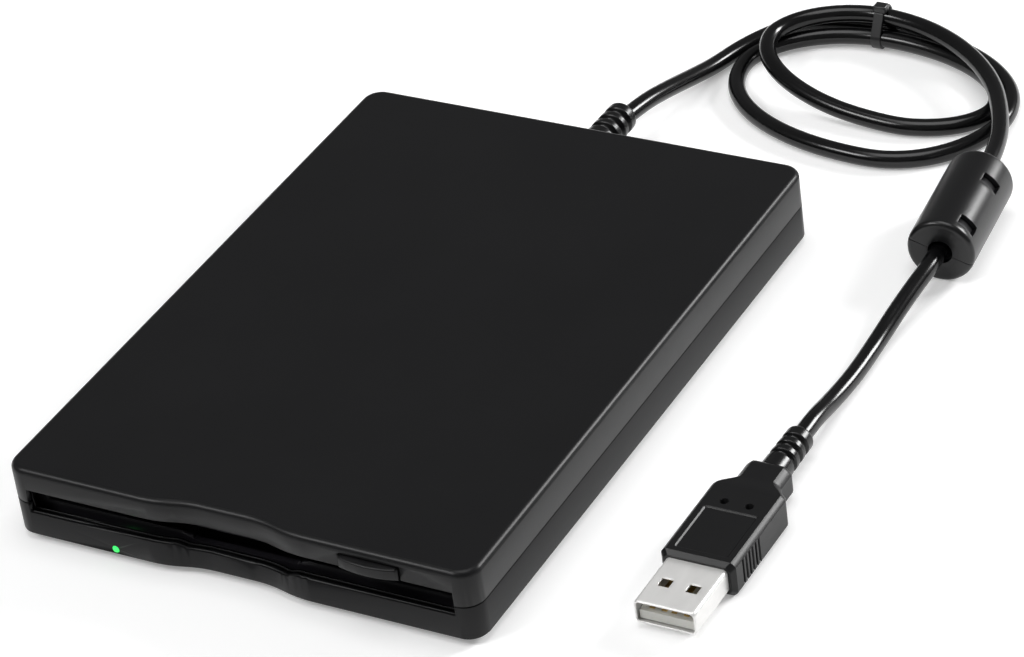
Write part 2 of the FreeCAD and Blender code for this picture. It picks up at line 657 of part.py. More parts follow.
def eject_slider():
    """Sheet plate over the carrier; slanted slots in its cheeks lower the carrier."""
    body = doc.addObject("PartDesign::Body", "eject_slider")
    plan = new_sketch(body, "slider_plan", "XY_Plane", "13.1")
    rectangle(plan, "plate", ("-47.3", "47.3"), ("-52", "27.5"))
    pad(body, plan, "slider_plate", "sheet_steel")
    tab = new_sketch(body, "slider_tab", "XY_Plane", "13.1")
    rectangle(tab, "tab", ("button_middle - 4.2", "button_middle + 4.2"), ("front_y + 0.6", "-51"))
    pad(body, tab, "slider_tab_pad", "sheet_steel")
    cheeks = new_sketch(body, "slider_cheeks", "XY_Plane", "7.4")
    rectangle(cheeks, "left", ("-47.3", "-46.7"), ("-50", "24"))
    rectangle(cheeks, "right", ("46.7", "47.3"), ("-50", "24"))
    pad(body, cheeks, "slider_cheek_walls", "13.1 - 7.4 + sheet_steel")
    windows = new_sketch(body, "slider_windows", "XY_Plane", "14.5")
    rectangle(windows, "rear", ("-10", "10"), ("-4", "30"))
    rectangle(windows, "left", ("-41", "-16"), ("-34", "14"))
    rectangle(windows, "right", ("16", "41"), ("-34", "24.3"))
    circle(windows, "hub", "0", "spindle_y - 4", "9")
    pocket(body, windows, "slider_windows_cut", "3")
    slots = new_sketch(body, "slider_slots", "YZ_Plane", "-60")
    slope = "carrier_drop / eject_travel"
    for name, pin in (("front", "front_pin_y"), ("rear", "rear_pin_y")):
        slot_outline(slots, name,
                     ("%s - eject_over" % pin, "pin_level + eject_over * %s" % slope),
                     ("%s + eject_travel" % pin, "pin_level - carrier_drop"), "pin_radius + 0.15")
    pocket(body, slots, "slider_slots_cut", "120", True)
    return finish("eject_slider", body)


def disk_carrier():
    """Sheet sleeve that the disk slides into: roof, sides, lips below and four side pins."""
    roof = block("carrier_roof", ("-46.2", "46.2"), ("-56", "30"), ("12", "12.6"))
    solids = [roof]
    for side, sign in (("left", -1), ("right", 1)):
        def across(inner, outer):
            """Two x places, from low to high, on this side."""
            return tuple(str(value) for value in sorted((sign * inner, sign * outer)))
        solids.append(block("carrier_side_" + side, across(45.6, 46.2), ("-56", "30"), ("7.4", "12.6")))
        solids.append(block("carrier_lip_" + side, across(41.6, 46.2), ("-56", "30"), ("7.4", "7.8")))
        for name, pin in (("front", "front_pin_y"), ("rear", "rear_pin_y")):
            solids.append(rod("carrier_pin_%s_%s" % (name, side), "x", "pin_radius",
                              (across(45.9, 48.2)[0], pin, "pin_level"), "2.3"))
    stop_left = block("carrier_stop_left", ("-46.2", "-12"), ("29.4", "30"), ("8", "12.6"))
    stop_right = block("carrier_stop_right", ("12", "46.2"), ("29.4", "30"), ("8", "12.6"))
    window = block("carrier_window", ("-9", "9"), ("-2", "31"), ("11", "13"))
    hub = rod("carrier_hub_hole", "z", "13", ("0", "spindle_y", "11"), "2")
    left_window = block("carrier_left_window", ("-38", "-18"), ("-46", "20"), ("11", "13"))
    right_window = block("carrier_right_window", ("18", "38"), ("-46", "2"), ("11", "13"))
    lever_slot = block("carrier_lever_slot", ("16.6", "40"), ("14.6", "28"), ("11", "13"))
    whole = fuse("carrier_sheet", *(solids + [stop_left, stop_right]))
    return finish("disk_carrier", cut("carrier", whole, window, hub, left_window, right_window, lever_slot))


def chassis():
    """Pressed steel tray: floor with cut-outs, side walls with upright slots, bearing stands."""
    body = doc.addObject("PartDesign::Body", "chassis")
    plan = new_sketch(body, "chassis_plan", "XY_Plane", "plate_low")
    rectangle(plan, "plate", ("-chassis_half", "chassis_half"), ("-58", "43"))
    pad(body, plan, "chassis_plate", "plate_thick")
    tail = new_sketch(body, "chassis_tail", "XY_Plane", "plate_low")
    rectangle(tail, "tail", ("-13", "19.5"), ("42", "58.3"))
    pad(body, tail, "chassis_tail_pad", "plate_thick")
    walls = new_sketch(body, "chassis_walls", "XY_Plane", "plate_low")
    rectangle(walls, "left", ("-chassis_half", "-chassis_half + sheet_steel"), ("-58", "43"))
    rectangle(walls, "right", ("chassis_half - sheet_steel", "chassis_half"), ("-58", "43"))
    pad(body, walls, "chassis_wall_pads", "14.3 - plate_low")
    stands = new_sketch(body, "chassis_stands", "XY_Plane", "plate_low")
    rectangle(stands, "front_left", ("-rod_x - 2", "-rod_x + 2"), ("29.6", "30.4"))
    rectangle(stands, "front_right", ("rod_x - 2", "rod_x + 2"), ("29.6", "30.4"))
    rectangle(stands, "rear", ("-rod_x - 2", "19.5"), ("57.5", "58.3"))
    rectangle(stands, "screw", ("screw_shaft_x - 2", "screw_shaft_x + 2"), ("32.6", "33.4"))
    pad(body, stands, "chassis_stand_pads", "5.6")
    bores = new_sketch(body, "stand_bores", "XZ_Plane", "-60")
    circle(bores, "left", "-rod_x", "rod_level", "rod_radius + 0.02")
    circle(bores, "right", "rod_x", "rod_level", "rod_radius + 0.02")
    circle(bores, "shaft", "screw_shaft_x", "screw_shaft_level", "0.85")
    pocket(body, bores, "stand_bore_cuts", "32", True)
    slots = new_sketch(body, "chassis_slots", "YZ_Plane", "-60")
    for name, pin in (("front", "front_pin_y"), ("rear", "rear_pin_y")):
        slot_outline(slots, name, (pin, "pin_level - carrier_drop - 0.1"),
                     (pin, "pin_level + 0.3"), "pin_radius + 0.1")
    pocket(body, slots, "chassis_slots_cut", "120", True)
    holes = new_sketch(body, "chassis_holes", "XY_Plane", "plate_top")
    for side, sign in (("left", "-"), ("right", "")):
        circle(holes, "front_" + side, sign + "40", "-48", "1.1")
        circle(holes, "rear_" + side, sign + "40", "36", "1.1")
    circle(holes, "bearing", "0", "spindle_y", "4.05")
    rectangle(holes, "left_window", ("-36", "-20"), ("-2", "28"))
    rectangle(holes, "right_window", ("20", "36"), ("-2", "28"))
    rectangle(holes, "front_window", ("-30", "30"), ("-54", "-44"))
    pocket(body, holes, "chassis_hole_cuts", "plate_thick + 0.5")
    return finish("chassis", body)


def mechanism_top_plate():
    """Thin lid of the mechanism, open over the head arm and the hub."""
    body = doc.addObject("PartDesign::Body", "mechanism_top_plate")
    plan = new_sketch(body, "lid_plan", "XY_Plane", "14.3")
    rectangle(plan, "lid", ("-chassis_half", "chassis_half"), ("-57", "43"))
    rectangle(plan, "arm", ("-10", "10"), ("0", "42"))
    rectangle(plan, "left", ("-38", "-18"), ("-40", "30"))
    rectangle(plan, "right", ("18", "38"), ("-40", "4"))
    circle(plan, "hub", "0", "spindle_y", "11")
    circle(plan, "lever", "31", "18", "1.05")
    pad(body, plan, "lid_plate", "0.5")
    return finish("mechanism_top_plate", body)


def shutter_lever():
    """Bell-crank under the lid whose claw opens the disk's shutter."""
    hub = rod("lever_hub", "z", "2.6", ("31", "18", "11"), "1.8")
    arm = block("lever_arm", ("18.4", "31"), ("16.6", "19.4"), ("11", "11.7"))
    claw = rod("lever_claw", "z", "1.2", ("19.2", "18", "9.2"), "2.5")
    bore = rod("lever_bore", "z", "1.05", ("31", "18", "10"), "4")
    return finish("shutter_lever", cut("lever", fuse("lever_solid", hub, arm, claw), bore))


def lever_pin():
    """Pivot of the shutter lever, riveted into the lid."""
    shaft = rod("lever_pin_shaft", "z", "1", ("31", "18", "10.9"), "3.9")
    head = rod("lever_pin_head", "z", "1.9", ("31", "18", "10.5"), "0.5")
    return finish("shutter_lever_pin", fuse("lever_pin_solid", shaft, head))


def spindle():
    """Stator board, bearing, rotor with its hub chuck, and the drive pin."""
    board = block("stator_sheet", ("-17", "17"), ("spindle_y - 17", "spindle_y + 17"), ("plate_top", "plate_top + 0.5"))
    bore = rod("stator_bore", "z", "4.3", ("0", "spindle_y", "plate_top - 1"), "3")
    finish("stator_board", cut("stator", board, bore))
    bush = rod("bearing_bush", "z", "4", ("0", "spindle_y", "case_floor + 0.2"), "2.4")
    eye = rod("bearing_eye", "z", "1.55", ("0", "spindle_y", "case_floor"), "4")
    finish("spindle_bearing", cut("bearing", bush, eye))
    drum = rod("rotor_drum", "z", "15.5", ("0", "spindle_y", "plate_top + 0.8"), "1")
    chuck = rod("rotor_chuck", "z", "11", ("0", "spindle_y", "plate_top + 0.8"), "1.7")
    nose = rod("rotor_nose", "z", "2", ("0", "spindle_y", "plate_top + 0.8"), "2.2")
    shaft = rod("rotor_shaft", "z", "1.5", ("0", "spindle_y", "case_floor + 0.3"), "4")
    pin_hole = rod("rotor_pin_hole", "z", "0.8", ("6.5", "spindle_y", "plate_top"), "4")
    finish("spindle_rotor", cut("rotor", fuse("rotor_solid", drum, chuck, nose, shaft), pin_hole))
    finish("drive_pin", rod("hub_pin", "z", "0.8", ("6.5", "spindle_y", "plate_top + 0.9"), "2.1"))


def positioner():
    """Stepper motor, lead screw, guide rods, head carriage and the upper arm."""
    can = rod("motor_can", "y", "motor_radius", ("screw_shaft_x", "58.3", "screw_shaft_level"), "11.2")
    hole = rod("motor_hole", "y", "0.85", ("screw_shaft_x", "58", "screw_shaft_level"), "7")
    finish("stepper_motor", cut("motor", can, hole))
    thread = rod("lead_thread", "y", "screw_shaft_radius", ("screw_shaft_x", "33.6", "screw_shaft_level"), "23.6")
    journal = rod("lead_journal", "y", "0.8", ("screw_shaft_x", "32.2", "screw_shaft_level"), "32")
    finish("lead_screw", fuse("lead_solid", thread, journal))
    rods = []
    for side, sign in (("left", "-"), ("right", "")):
        rods.append(rod("guide_" + side, "y", "rod_radius", (sign + "rod_x", "29.3", "rod_level"), "29.3"))
    finish("guide_rods", group("guides", *rods))
    saddle = block("carriage_saddle", ("-11", "11"), ("46", "54.5"), ("4.9", "8.6"))
    ears = block("carriage_ears", ("-8", "8"), ("48.8", "53.2"), ("8.6", "12.2"))
    between = block("carriage_gap", ("-5.3", "5.3"), ("45", "56"), ("8.6", "13"))
    tongue = block("carriage_tongue", ("-4", "4"), ("head_y - 4", "47"), ("5", "6.1"))
    nib = rod("lower_head", "z", "1.6", ("0", "head_y", "6"), "1.9")
    finger = block("carriage_finger", ("10", "13.1"), ("49", "51"), ("6.6", "9.4"))
    tools = [between]
    for side, sign in (("left", "-"), ("right", "")):
        tools.append(rod("saddle_bore_" + side, "y", "rod_radius + 0.05", (sign + "rod_x", "44", "rod_level"), "12"))
    tools.append(rod("ear_bore", "x", "0.62", ("-9", "arm_pin_y", "arm_pin_level"), "18"))
    solid = fuse("carriage_solid", saddle, ears, tongue, nib, finger)
    finish("head_carriage", cut("carriage", solid, *tools))
    finish("arm_pin", rod("arm_hinge_pin", "x", "0.6", ("-7.8", "arm_pin_y", "arm_pin_level"), "15.6"))


def head_arm():
    """Upper arm, raised about its pin while no disk is in, with the upper head below its tip."""
    y, z = size("arm_pin_y"), size("arm_pin_level")
    reach = y - size("head_y")
    beam = Part.makeBox(8, reach + 2.5, 0.8, V(-4, y - reach - 2.5, z - 0.3))
    knuckle = Part.makeCylinder(1.3, 10, V(-5, y, z), V(1, 0, 0))
    nib = Part.makeCylinder(1.6, 2.1, V(0, y - reach, z - 2.3))
    slit = Part.makeBox(3, 12, 3, V(-1.5, y - 20, z - 2))
    bore = Part.makeCylinder(0.65, 12, V(-6, y, z), V(1, 0, 0))
    arm = beam.fuse([knuckle, nib]).cut([slit, bore]).removeSplitter()
    arm.rotate(V(0, y, z), V(1, 0, 0), -size("arm_lift"))
    return part_feature("upper_head_arm", arm)


def boards():
    """Main board at the left rear, USB board at the right rear, with their chips."""
    low, high = "4.4", "5.4"
    finish("main_board", block("main_board_sheet", ("-41.5", "-16"), ("45", "69.5"), (low, high)))
    driver = block("driver_chip", ("-37", "-27"), ("50", "60"), (high, "6.9"))
    logic = block("logic_chip", ("-24", "-18"), ("52", "58"), (high, "6.6"))
    finish("main_board_chips", group("main_chips", driver, logic))
    finish("usb_board", block("usb_board_sheet", ("22", "41.5"), ("45", "69.5"), (low, high)))
    bridge = block("bridge_chip", ("28", "36"), ("50", "58"), (high, "6.9"))
    crystal = block("clock_crystal", ("27", "38"), ("61", "65"), (high, "8.6"))
    finish("usb_board_chips", group("usb_chips", bridge, crystal))
    posts = []
    for number, (x, y) in enumerate((("-39", "47.5"), ("-19", "66"), ("24.5", "47.5"), ("39", "47.5"))):
        posts.append(block("board_post_%d" % number, (x + " - 1.4", x + " + 1.4"), (y + " - 1.4", y + " + 1.4"),
                           ("case_floor", low)))
    finish("board_posts", group("board_post_group", *posts))


def light_pipe():
    """Short clear green rod with a rounded nose, flush in the front."""
    nose = rod("pipe_rod", "y", "led_radius", ("led_x", "front_y - 0.1", "led_level"), "3.9")
    return finish("led_light_pipe", nose)


def ringed_sleeve(label, start_y, length, radius, tip_radius, grooves, level, x, nose, flange):
    """A flexible sleeve along +y: bands that get slimmer, ring grooves and a bevelled tip."""
    points = [V(0, 0, 0)]
    base = 0.0
    if flange:
        base = 1.2
        points += [V(5.2, 0, 0), V(5.2, base, 0)]
    points.append(V(radius, base, 0))
    here = radius
    step = (tip_radius - radius) / len(grooves)
    for groove in grooves:
        points += [V(here, groove - 0.4, 0), V(here - 0.7, groove - 0.4, 0)]
        here += step
        points += [V(here - step - 0.7, groove + 0.4, 0), V(here, groove + 0.4, 0)]
    points += [V(here, length - nose, 0), V(here - nose, length, 0), V(0, length, 0)]
    face = Part.Face(Part.makePolygon(points + [points[0]]))
    solid = face.revolve(V(0, 0, 0), V(0, 1, 0), 360)
    solid.translate(V(x, start_y, level))
    return part_feature(label, solid)


# Cord, from the drive to the plug

def rounded_wire(points):
    """Straight runs joined by tangent arcs, each as large as its two runs allow."""
    edges = []
    radii = []
    here = points[0]
    for before, corner, after in zip(points, points[1:], points[2:]):
        into = (corner - before)
        out = (after - corner)
        run = 0.45 * min(into.Length, out.Length)
        way_in, way_out = V(into).normalize(), V(out).normalize()
        half_turn = way_in.getAngle(way_out) / 2
        radius = run / math.tan(half_turn)
        radii.append(radius)
        start = corner - way_in * run
        end = corner + way_out * run
        inward = (way_out - way_in).normalize()
        crest = corner + inward * (radius / math.cos(half_turn) - radius)
        edges.append(Part.LineSegment(here, start).toShape())
        edges.append(Part.Arc(start, crest, end).toShape())
        here = end
    edges.append(Part.LineSegment(here, points[-1]).toShape())
    return Part.Wire(edges), radii


def biarc(start, start_way, end, end_way):
    """Two tangent arcs from one point and direction to another."""
    gap = end - start
    both = start_way + end_way
    k = 2 * (1 - start_way.dot(end_way))
    along = gap.dot(both)
    reach = (-along + math.sqrt(along * along + k * gap.dot(gap))) / k
    first_knot = start + start_way * reach
    second_knot = end - end_way * reach
    middle = (first_knot + second_knot) / 2
    return [tangent_arc(start, first_knot, middle), tangent_arc(middle, second_knot, end)]


def tangent_arc(start, corner, end):
    """The arc that touches both legs of a corner at their ends."""
    half_turn = (corner - start).getAngle(end - corner) / 2
    leg = (corner - start).Length
    radius = leg / math.tan(half_turn)
    inward = ((start + end) / 2 - corner).normalize()
    crest = corner + inward * (radius / math.cos(half_turn) - radius)
    return Part.Arc(start, crest, end).toShape()


def tube_along(label, wire, start_way):
    """A tube of the cord's section along a wire; its section is an eight-sided ring."""
    sides = 8
    start = wire.Edges[0].valueAt(wire.Edges[0].FirstParameter)
    radius = size("cord_diameter / 2")
    across = start_way.cross(V(0, 0, 1)).normalize()
    up = across.cross(start_way)
    ring = [start + across * (radius * math.cos(2 * math.pi * (k + 0.5) / sides))
            + up * (radius * math.sin(2 * math.pi * (k + 0.5) / sides)) for k in range(sides)]
    section = Part.makePolygon(ring + [ring[0]])
    solid = wire.makePipeShell([section], True, False)
    area = Part.Face(section).Area
    print("%s: length %.1f mm, volume %.1f against %.1f mm3"
          % (label, wire.Length, solid.Volume, area * wire.Length))
    return part_feature(label, solid)


def route(label, points):
    """A free stretch of cord through points chosen by hand."""
    vectors = [V(*point) for point in points]
    wire, radii = rounded_wire(vectors)
    print(label, "radii", " ".join("%.0f" % radius for radius in radii))
    return tube_along(label, wire, (vectors[1] - vectors[0]).normalize())


COIL_QUARTERS = (
    # x, y, height and heading in degrees where each quarter turn ends
    (10.2, 145.2, 1.9, 62),
    (33.0, 151.0, 2.7, 0),
    (73.9, 124.5, 1.9, -90),
    (51.0, 100.2, 1.9, -180),
    (9.5, 127.0, 1.9, -270),
    (36.0, 146.3, 2.7, -360),
    (68.6, 123.0, 1.9, -450),
    (52.0, 114.2, 1.9, -540),
    (14.2, 134.0, 6.6, -630),
    (35.0, 148.9, 6.9, -720),
    (74.9, 118.4, 6.4, -790),
)


def heading(degrees):
    """A level direction by its angle from +x."""
    return V(math.cos(math.radians(degrees)), math.sin(math.radians(degrees)), 0)


def cord_coil():
    """Two and a half loose turns, one unbroken tube of quarter turns, straight at both ends."""
    knots = [(V(x, y, z), heading(angle)) for x, y, z, angle in COIL_QUARTERS]
    straight = size("cord_diameter")
    first, first_way = knots[0]
    last, last_way = knots[-1]
    edges = [Part.LineSegment(first - first_way * straight, first).toShape()]
    for (start, start_way), (end, end_way) in zip(knots, knots[1:]):
        edges += biarc(start, start_way, end, end_way)
    edges.append(Part.LineSegment(last, last + last_way * straight).toShape())
    wire = Part.Wire(edges)
    print("coil: least gap to itself %.2f mm" % least_gap(wire))
    tube_along("cord_coil", wire, first_way)
    return first - first_way * straight, last + last_way * straight


def least_gap(wire):
    """Least clear distance between turns, measured on points 1 mm apart."""
    count = int(wire.Length)
    points = wire.discretize(Number=count)
    skip = 12
    least = 1e9
    for i in range(0, count):
        for j in range(i + skip, count, 1):
            least = min(least, (points[i] - points[j]).Length)
    return least - size("cord_diameter")


def cords():
    """The cord's stretches, meeting face to face from the boot to the plug."""
    exit_y = size("back_y + boot_length")
    level = size("cord_level")
    coil_start, coil_end = cord_coil()
    before = coil_start - heading(COIL_QUARTERS[0][3]) * 8.5
    route("cord_drive_run", (
        (0.0, exit_y, level),
        (0.0, exit_y + 6.5, level),
        (0.9, 105.5, 7.0),
        (1.8, 115.0, 3.6),
        (2.7, 124.5, 1.9),
        (before.x, before.y, 1.9),
        (coil_start.x, coil_start.y, 1.9),
    ))
    turn = math.radians(size("ferrite_turn"))
    along = V(math.sin(turn), -math.cos(turn), 0)
    middle = V(size("ferrite_x"), size("ferrite_y"), size("ferrite_radius"))
    far_face = middle - along * size("ferrite_length / 2")
    near_face = middle + along * size("ferrite_length / 2")
    after = coil_end + heading(COIL_QUARTERS[-1][3]) * 8
    route("cord_plug_run", (
        tuple(coil_end),
        (after.x, after.y, coil_end.z),
        tuple(far_face),
        tuple(near_face),
        (82.3, 51.5, 4.8),
        (81.3, 39.0, 1.9),
        (81.7, 27.5, 1.9),
        (81.4, 17.5, 2.4),
        (size("plug_x"), size("plug_cord_y") + 6.5, size("plug_level")),
        (size("plug_x"), size("plug_cord_y"), size("plug_level")),
    ))


def belt_outline(centres, radius):
    """A closed wire drawn tight round three rods seen end on, in the plane across x."""
    edges = []
    count = len(centres)
    for k in range(count):
        here, after, before = centres[k], centres[(k + 1) % count], centres[k - 1]
        out_in = normal_of(before, here)
        out_on = normal_of(here, after)
        crest = (out_in + out_on).normalize()
        edges.append(Part.Arc(here + out_in * radius, here + crest * radius, here + out_on * radius).toShape())
        edges.append(Part.LineSegment(here + out_on * radius, after + out_on * radius).toShape())
    return Part.Wire(edges)


def normal_of(start, end):
    """The outward side of a leg walked with the middle on the left, seen from +x."""
    way = (end - start).normalize()
    return V(0, way.z, -way.y)


def cable_tie():
    """Narrow tie round three strands of the coil, with a small twisted head."""
    x = 34.6
    wide = 2.4
    centres = (V(x, 146.35, 2.7), V(x, 151.0, 2.7), V(x, 148.9, 6.9))
    clear = size("cord_diameter / 2 + 0.1")
    thick = 0.65
    outer = Part.Face(belt_outline(centres, clear + thick))
    inner = Part.Face(belt_outline(centres, clear))
    band = outer.cut(inner).extrude(V(wide, 0, 0))
    band.translate(V(-wide / 2, 0, 0))
    head = Part.makeBox(3.0, 2.6, 2.2, V(x - 1.5, 147.6, 6.9 + clear + 0.2))
    return part_feature("cable_tie", band.fuse(head).removeSplitter())


# Ferrite

def ferrite():
    """Snap-on ferrite: two case halves with windows and a latch, two core halves inside."""
    turn = FreeCAD.Rotation(V(0, 0, 1), size("ferrite_turn"))
    spot = FreeCAD.Placement(V(size("ferrite_x"), size("ferrite_y"), size("ferrite_radius")), turn)
    half = size("ferrite_length / 2")
    radius = size("ferrite_radius")
    inner = radius - 1.3
    bore = size("cord_diameter / 2 + 0.7")
    nose = 1.6
    soft = 0.3 * nose
    face = Part.Face(Part.makePolygon([
        V(bore, half, 0), V(radius - nose, half, 0), V(radius - soft, half - soft, 0),
        V(radius, half - nose, 0), V(radius, -half + nose, 0), V(radius - soft, -half + soft, 0),
        V(radius - nose, -half, 0), V(bore, -half, 0), V(bore, -half + 1.6, 0),
        V(inner, -half + 1.6, 0), V(inner, half - 1.6, 0), V(bore, half - 1.6, 0), V(bore, half, 0),
    ]))
    split = 20
    for label, first_angle in (("ferrite_case_upper", split + 180), ("ferrite_case_lower", split)):
        start = face.copy()
        start.rotate(V(), V(0, 1, 0), first_angle + 0.6)
        shell = start.revolve(V(), V(0, 1, 0), 178.8)
        if label.endswith("upper"):
            for y in (-10.2, 5.5):
                window = Part.makeBox(4.4, 3.2, 6, V(-2.2, y - 1.6, radius - 2.6))
                window = window.makeFillet(1.0, [edge for edge in window.Edges
                                                 if abs(edge.tangentAt(edge.FirstParameter).z) > 0.9])
                window.rotate(V(), V(0, 1, 0), 46)
                shell = shell.cut(window)
        shell.Placement = spot.multiply(shell.Placement)
        part_feature(label, shell)
    for label, first_angle in (("ferrite_core_upper", split + 180), ("ferrite_core_lower", split)):
        long = 2 * half - 3.6
        core = Part.makeCylinder(inner - 0.1, long, V(0, -long / 2, 0), V(0, 1, 0), 178)
        hole = Part.makeCylinder(bore + 0.05, long + 1, V(0, -long / 2 - 0.5, 0), V(0, 1, 0))
        core = core.cut(hole)
        core.rotate(V(), V(0, 1, 0), 90)
        core.rotate(V(), V(0, 1, 0), first_angle)
        core.Placement = spot.multiply(core.Placement)
        part_feature(label, core)


# Plug

def rounded_bar(body, name, level, half_width, half_height, corner):
    """A rounded rectangle across the plug's axis, at a y level."""
    sketch = new_sketch(body, name, "XZ_Plane", "-(%s)" % level)
    x, z = size("plug_x"), size("plug_level")
    w, t, r = size(half_width), size(half_height), size(corner)
    outline = [
        line((x - w + r, z - t), (x + w - r, z - t)),
        arc((x + w - r, z - t + r), (x + w - r, z - t), (x + w, z - t + r), True),
        line((x + w, z - t + r), (x + w, z + t - r)),
        arc((x + w - r, z + t - r), (x + w, z + t - r), (x + w - r, z + t), True),
        line((x + w - r, z + t), (x - w + r, z + t)),
        arc((x - w + r, z + t - r), (x - w + r, z + t), (x - w, z + t - r), True),
        line((x - w, z + t - r), (x - w, z - t + r)),
        arc((x - w + r, z - t + r), (x - w, z - t + r), (x - w + r, z - t), True),
    ]
    draw(sketch, outline, [True] * 8)
    for index in (1, 3, 5, 7):
        hold(sketch, "Radius", index, 0, "corner_%d" % index, corner)
    hold(sketch, "DistanceX", 2, 1, "right_side", "plug_x + %s" % half_width)
    hold(sketch, "DistanceX", 6, 1, "left_side", "plug_x - (%s)" % half_width)
    hold(sketch, "DistanceY", 0, 1, "low_side", "plug_level - (%s)" % half_height)
    hold(sketch, "DistanceY", 4, 1, "high_side", "plug_level + %s" % half_height)
    return sketch


def bevelled_bar(body, name, level, half_width, half_height, bevel_size):
    """A rectangle with cut corners across the plug's axis, at a y level."""
    sketch = new_sketch(body, name, "XZ_Plane", "-(%s)" % level)
    x, z = size("plug_x"), size("plug_level")
    w, t, c = size(half_width), size(half_height), size(bevel_size)
    corners = ((x - w + c, z - t), (x + w - c, z - t), (x + w, z - t + c), (x + w, z + t - c),
               (x + w - c, z + t), (x - w + c, z + t), (x - w, z + t - c), (x - w, z - t + c))
    draw(sketch, [line(corners[k], corners[(k + 1) % 8]) for k in range(8)], [False] * 8)
    hold(sketch, "DistanceX", 0, 1, "low_left", "plug_x - (%s) + %s" % (half_width, bevel_size))
    hold(sketch, "DistanceX", 0, 2, "low_right", "plug_x + %s - %s" % (half_width, bevel_size))
    hold(sketch, "DistanceX", 4, 1, "high_right", "plug_x + %s - %s" % (half_width, bevel_size))
    hold(sketch, "DistanceX", 4, 2, "high_left", "plug_x - (%s) + %s" % (half_width, bevel_size))
    hold(sketch, "DistanceX", 2, 1, "right_side", "plug_x + %s" % half_width)
    hold(sketch, "DistanceX", 6, 1, "left_side", "plug_x - (%s)" % half_width)
    hold(sketch, "DistanceY", 0, 1, "low_side", "plug_level - (%s)" % half_height)
    hold(sketch, "DistanceY", 4, 1, "high_side", "plug_level + %s" % half_height)
    hold(sketch, "DistanceY", 2, 1, "right_low", "plug_level - (%s) + %s" % (half_height, bevel_size))
    hold(sketch, "DistanceY", 2, 2, "right_high", "plug_level + %s - %s" % (half_height, bevel_size))
    hold(sketch, "DistanceY", 6, 1, "left_high", "plug_level + %s - %s" % (half_height, bevel_size))
    hold(sketch, "DistanceY", 6, 2, "left_low", "plug_level - (%s) + %s" % (half_height, bevel_size))
    return sketch


def plug_overmould():
    """Moulded grip: flat bar with a lofted shoulder, side ribs and two dimples on top."""
    body = doc.addObject("PartDesign::Body", "plug_overmould")
    neck_y = "plug_cord_y - plug_boot"
    shoulder_y = "plug_cord_y - plug_boot - plug_neck"
    front_y = "plug_cord_y - plug_boot - plug_neck - plug_grip"
    grip = rounded_bar(body, "grip_section", front_y, "plug_width / 2", "plug_thick / 2", "1.5")
    feature = pad(body, grip, "grip_bar", "plug_grip", True)
    if feature.Shape.BoundBox.YMax > size(shoulder_y) + 0.1 or feature.Shape.BoundBox.YMin < size(front_y) - 0.1:
        raise ValueError("grip points the wrong way")
    base = bevelled_bar(body, "shoulder_base", shoulder_y, "plug_width / 2 - 0.2", "plug_thick / 2 - 0.2", "0.8")
    tip = bevelled_bar(body, "shoulder_tip", "%s - 5.5" % neck_y, "4.8", "plug_thick / 2 - 0.4", "1.2")
    loft = body.newObject("PartDesign::AdditiveLoft", "shoulder")
    loft.Profile = base
    loft.Sections = [tip]
    loft.Ruled = True
    doc.recompute()
    neck = bevelled_bar(body, "neck_section", "%s - 5.5" % neck_y, "4.8", "plug_thick / 2 - 0.4", "1.2")
    pad(body, neck, "neck_bar", "5.5", True)
    panel = new_sketch(body, "panel", "XY_Plane", "plug_level + plug_thick / 2")
    rectangle(panel, "panel", ("plug_x - 5.2", "plug_x + 5.2"), ("%s + 2" % front_y, "%s + 15" % front_y))
    pocket(body, panel, "panel_cut", "0.35")
    dimples = new_sketch(body, "dimples", "XY_Plane", "plug_level + plug_thick / 2")
    circle(dimples, "left", "plug_x - 2.6", "%s - 5" % shoulder_y, "1")
    circle(dimples, "right", "plug_x + 2.6", "%s - 5" % shoulder_y, "1")
    pocket(body, dimples, "dimple_cuts", "0.5")
    ribs = new_sketch(body, "side_grooves", "XY_Plane", "plug_level + plug_thick / 2 - 1")
    for side, sign in (("left", "-"), ("right", "+")):
        for number in range(6):
            near = "%s + 3.4 + %s" % (front_y, number * 1.35)
            far = "%s + 4.1 + %s" % (front_y, number * 1.35)
            edge = "plug_x %s (plug_width / 2 + 0.5)" % sign
            inner = "plug_x %s (plug_width / 2 - 0.5)" % sign
            ends = (edge, inner) if side == "left" else (inner, edge)
            rectangle(ribs, "%s_%d" % (side, number), ends, (near, far))
    pocket(body, ribs, "side_groove_cuts", "plug_thick - 2")
    return finish("plug_overmould", body)


def plug_shell():
    """Folded sheet tube with two latch windows above and two below."""
    front = "(plug_cord_y - plug_boot - plug_neck - plug_grip)"
    tip = "%s - shell_length" % front
    outer = block("shell_outer", ("plug_x - shell_width / 2", "plug_x + shell_width / 2"),
                  (tip, front), ("plug_level - shell_height / 2", "plug_level + shell_height / 2"))
    inner = block("shell_inner", ("plug_x - shell_width / 2 + shell_steel", "plug_x + shell_width / 2 - shell_steel"),
                  ("%s - 1" % tip, "%s + 1" % front),
                  ("plug_level - shell_height / 2 + shell_steel", "plug_level + shell_height / 2 - shell_steel"))
    windows = []
    for number, x in enumerate((-2.85, 2.85)):
        windows.append(block("shell_window_%d" % number, ("plug_x + %s" % (x - 1.2), "plug_x + %s" % (x + 1.2)),
                             ("%s - 8.2" % front, "%s - 5.8" % front),
                             ("plug_level - shell_height", "plug_level + shell_height")))
    return finish("plug_shell", cut("shell", outer, inner, *windows))


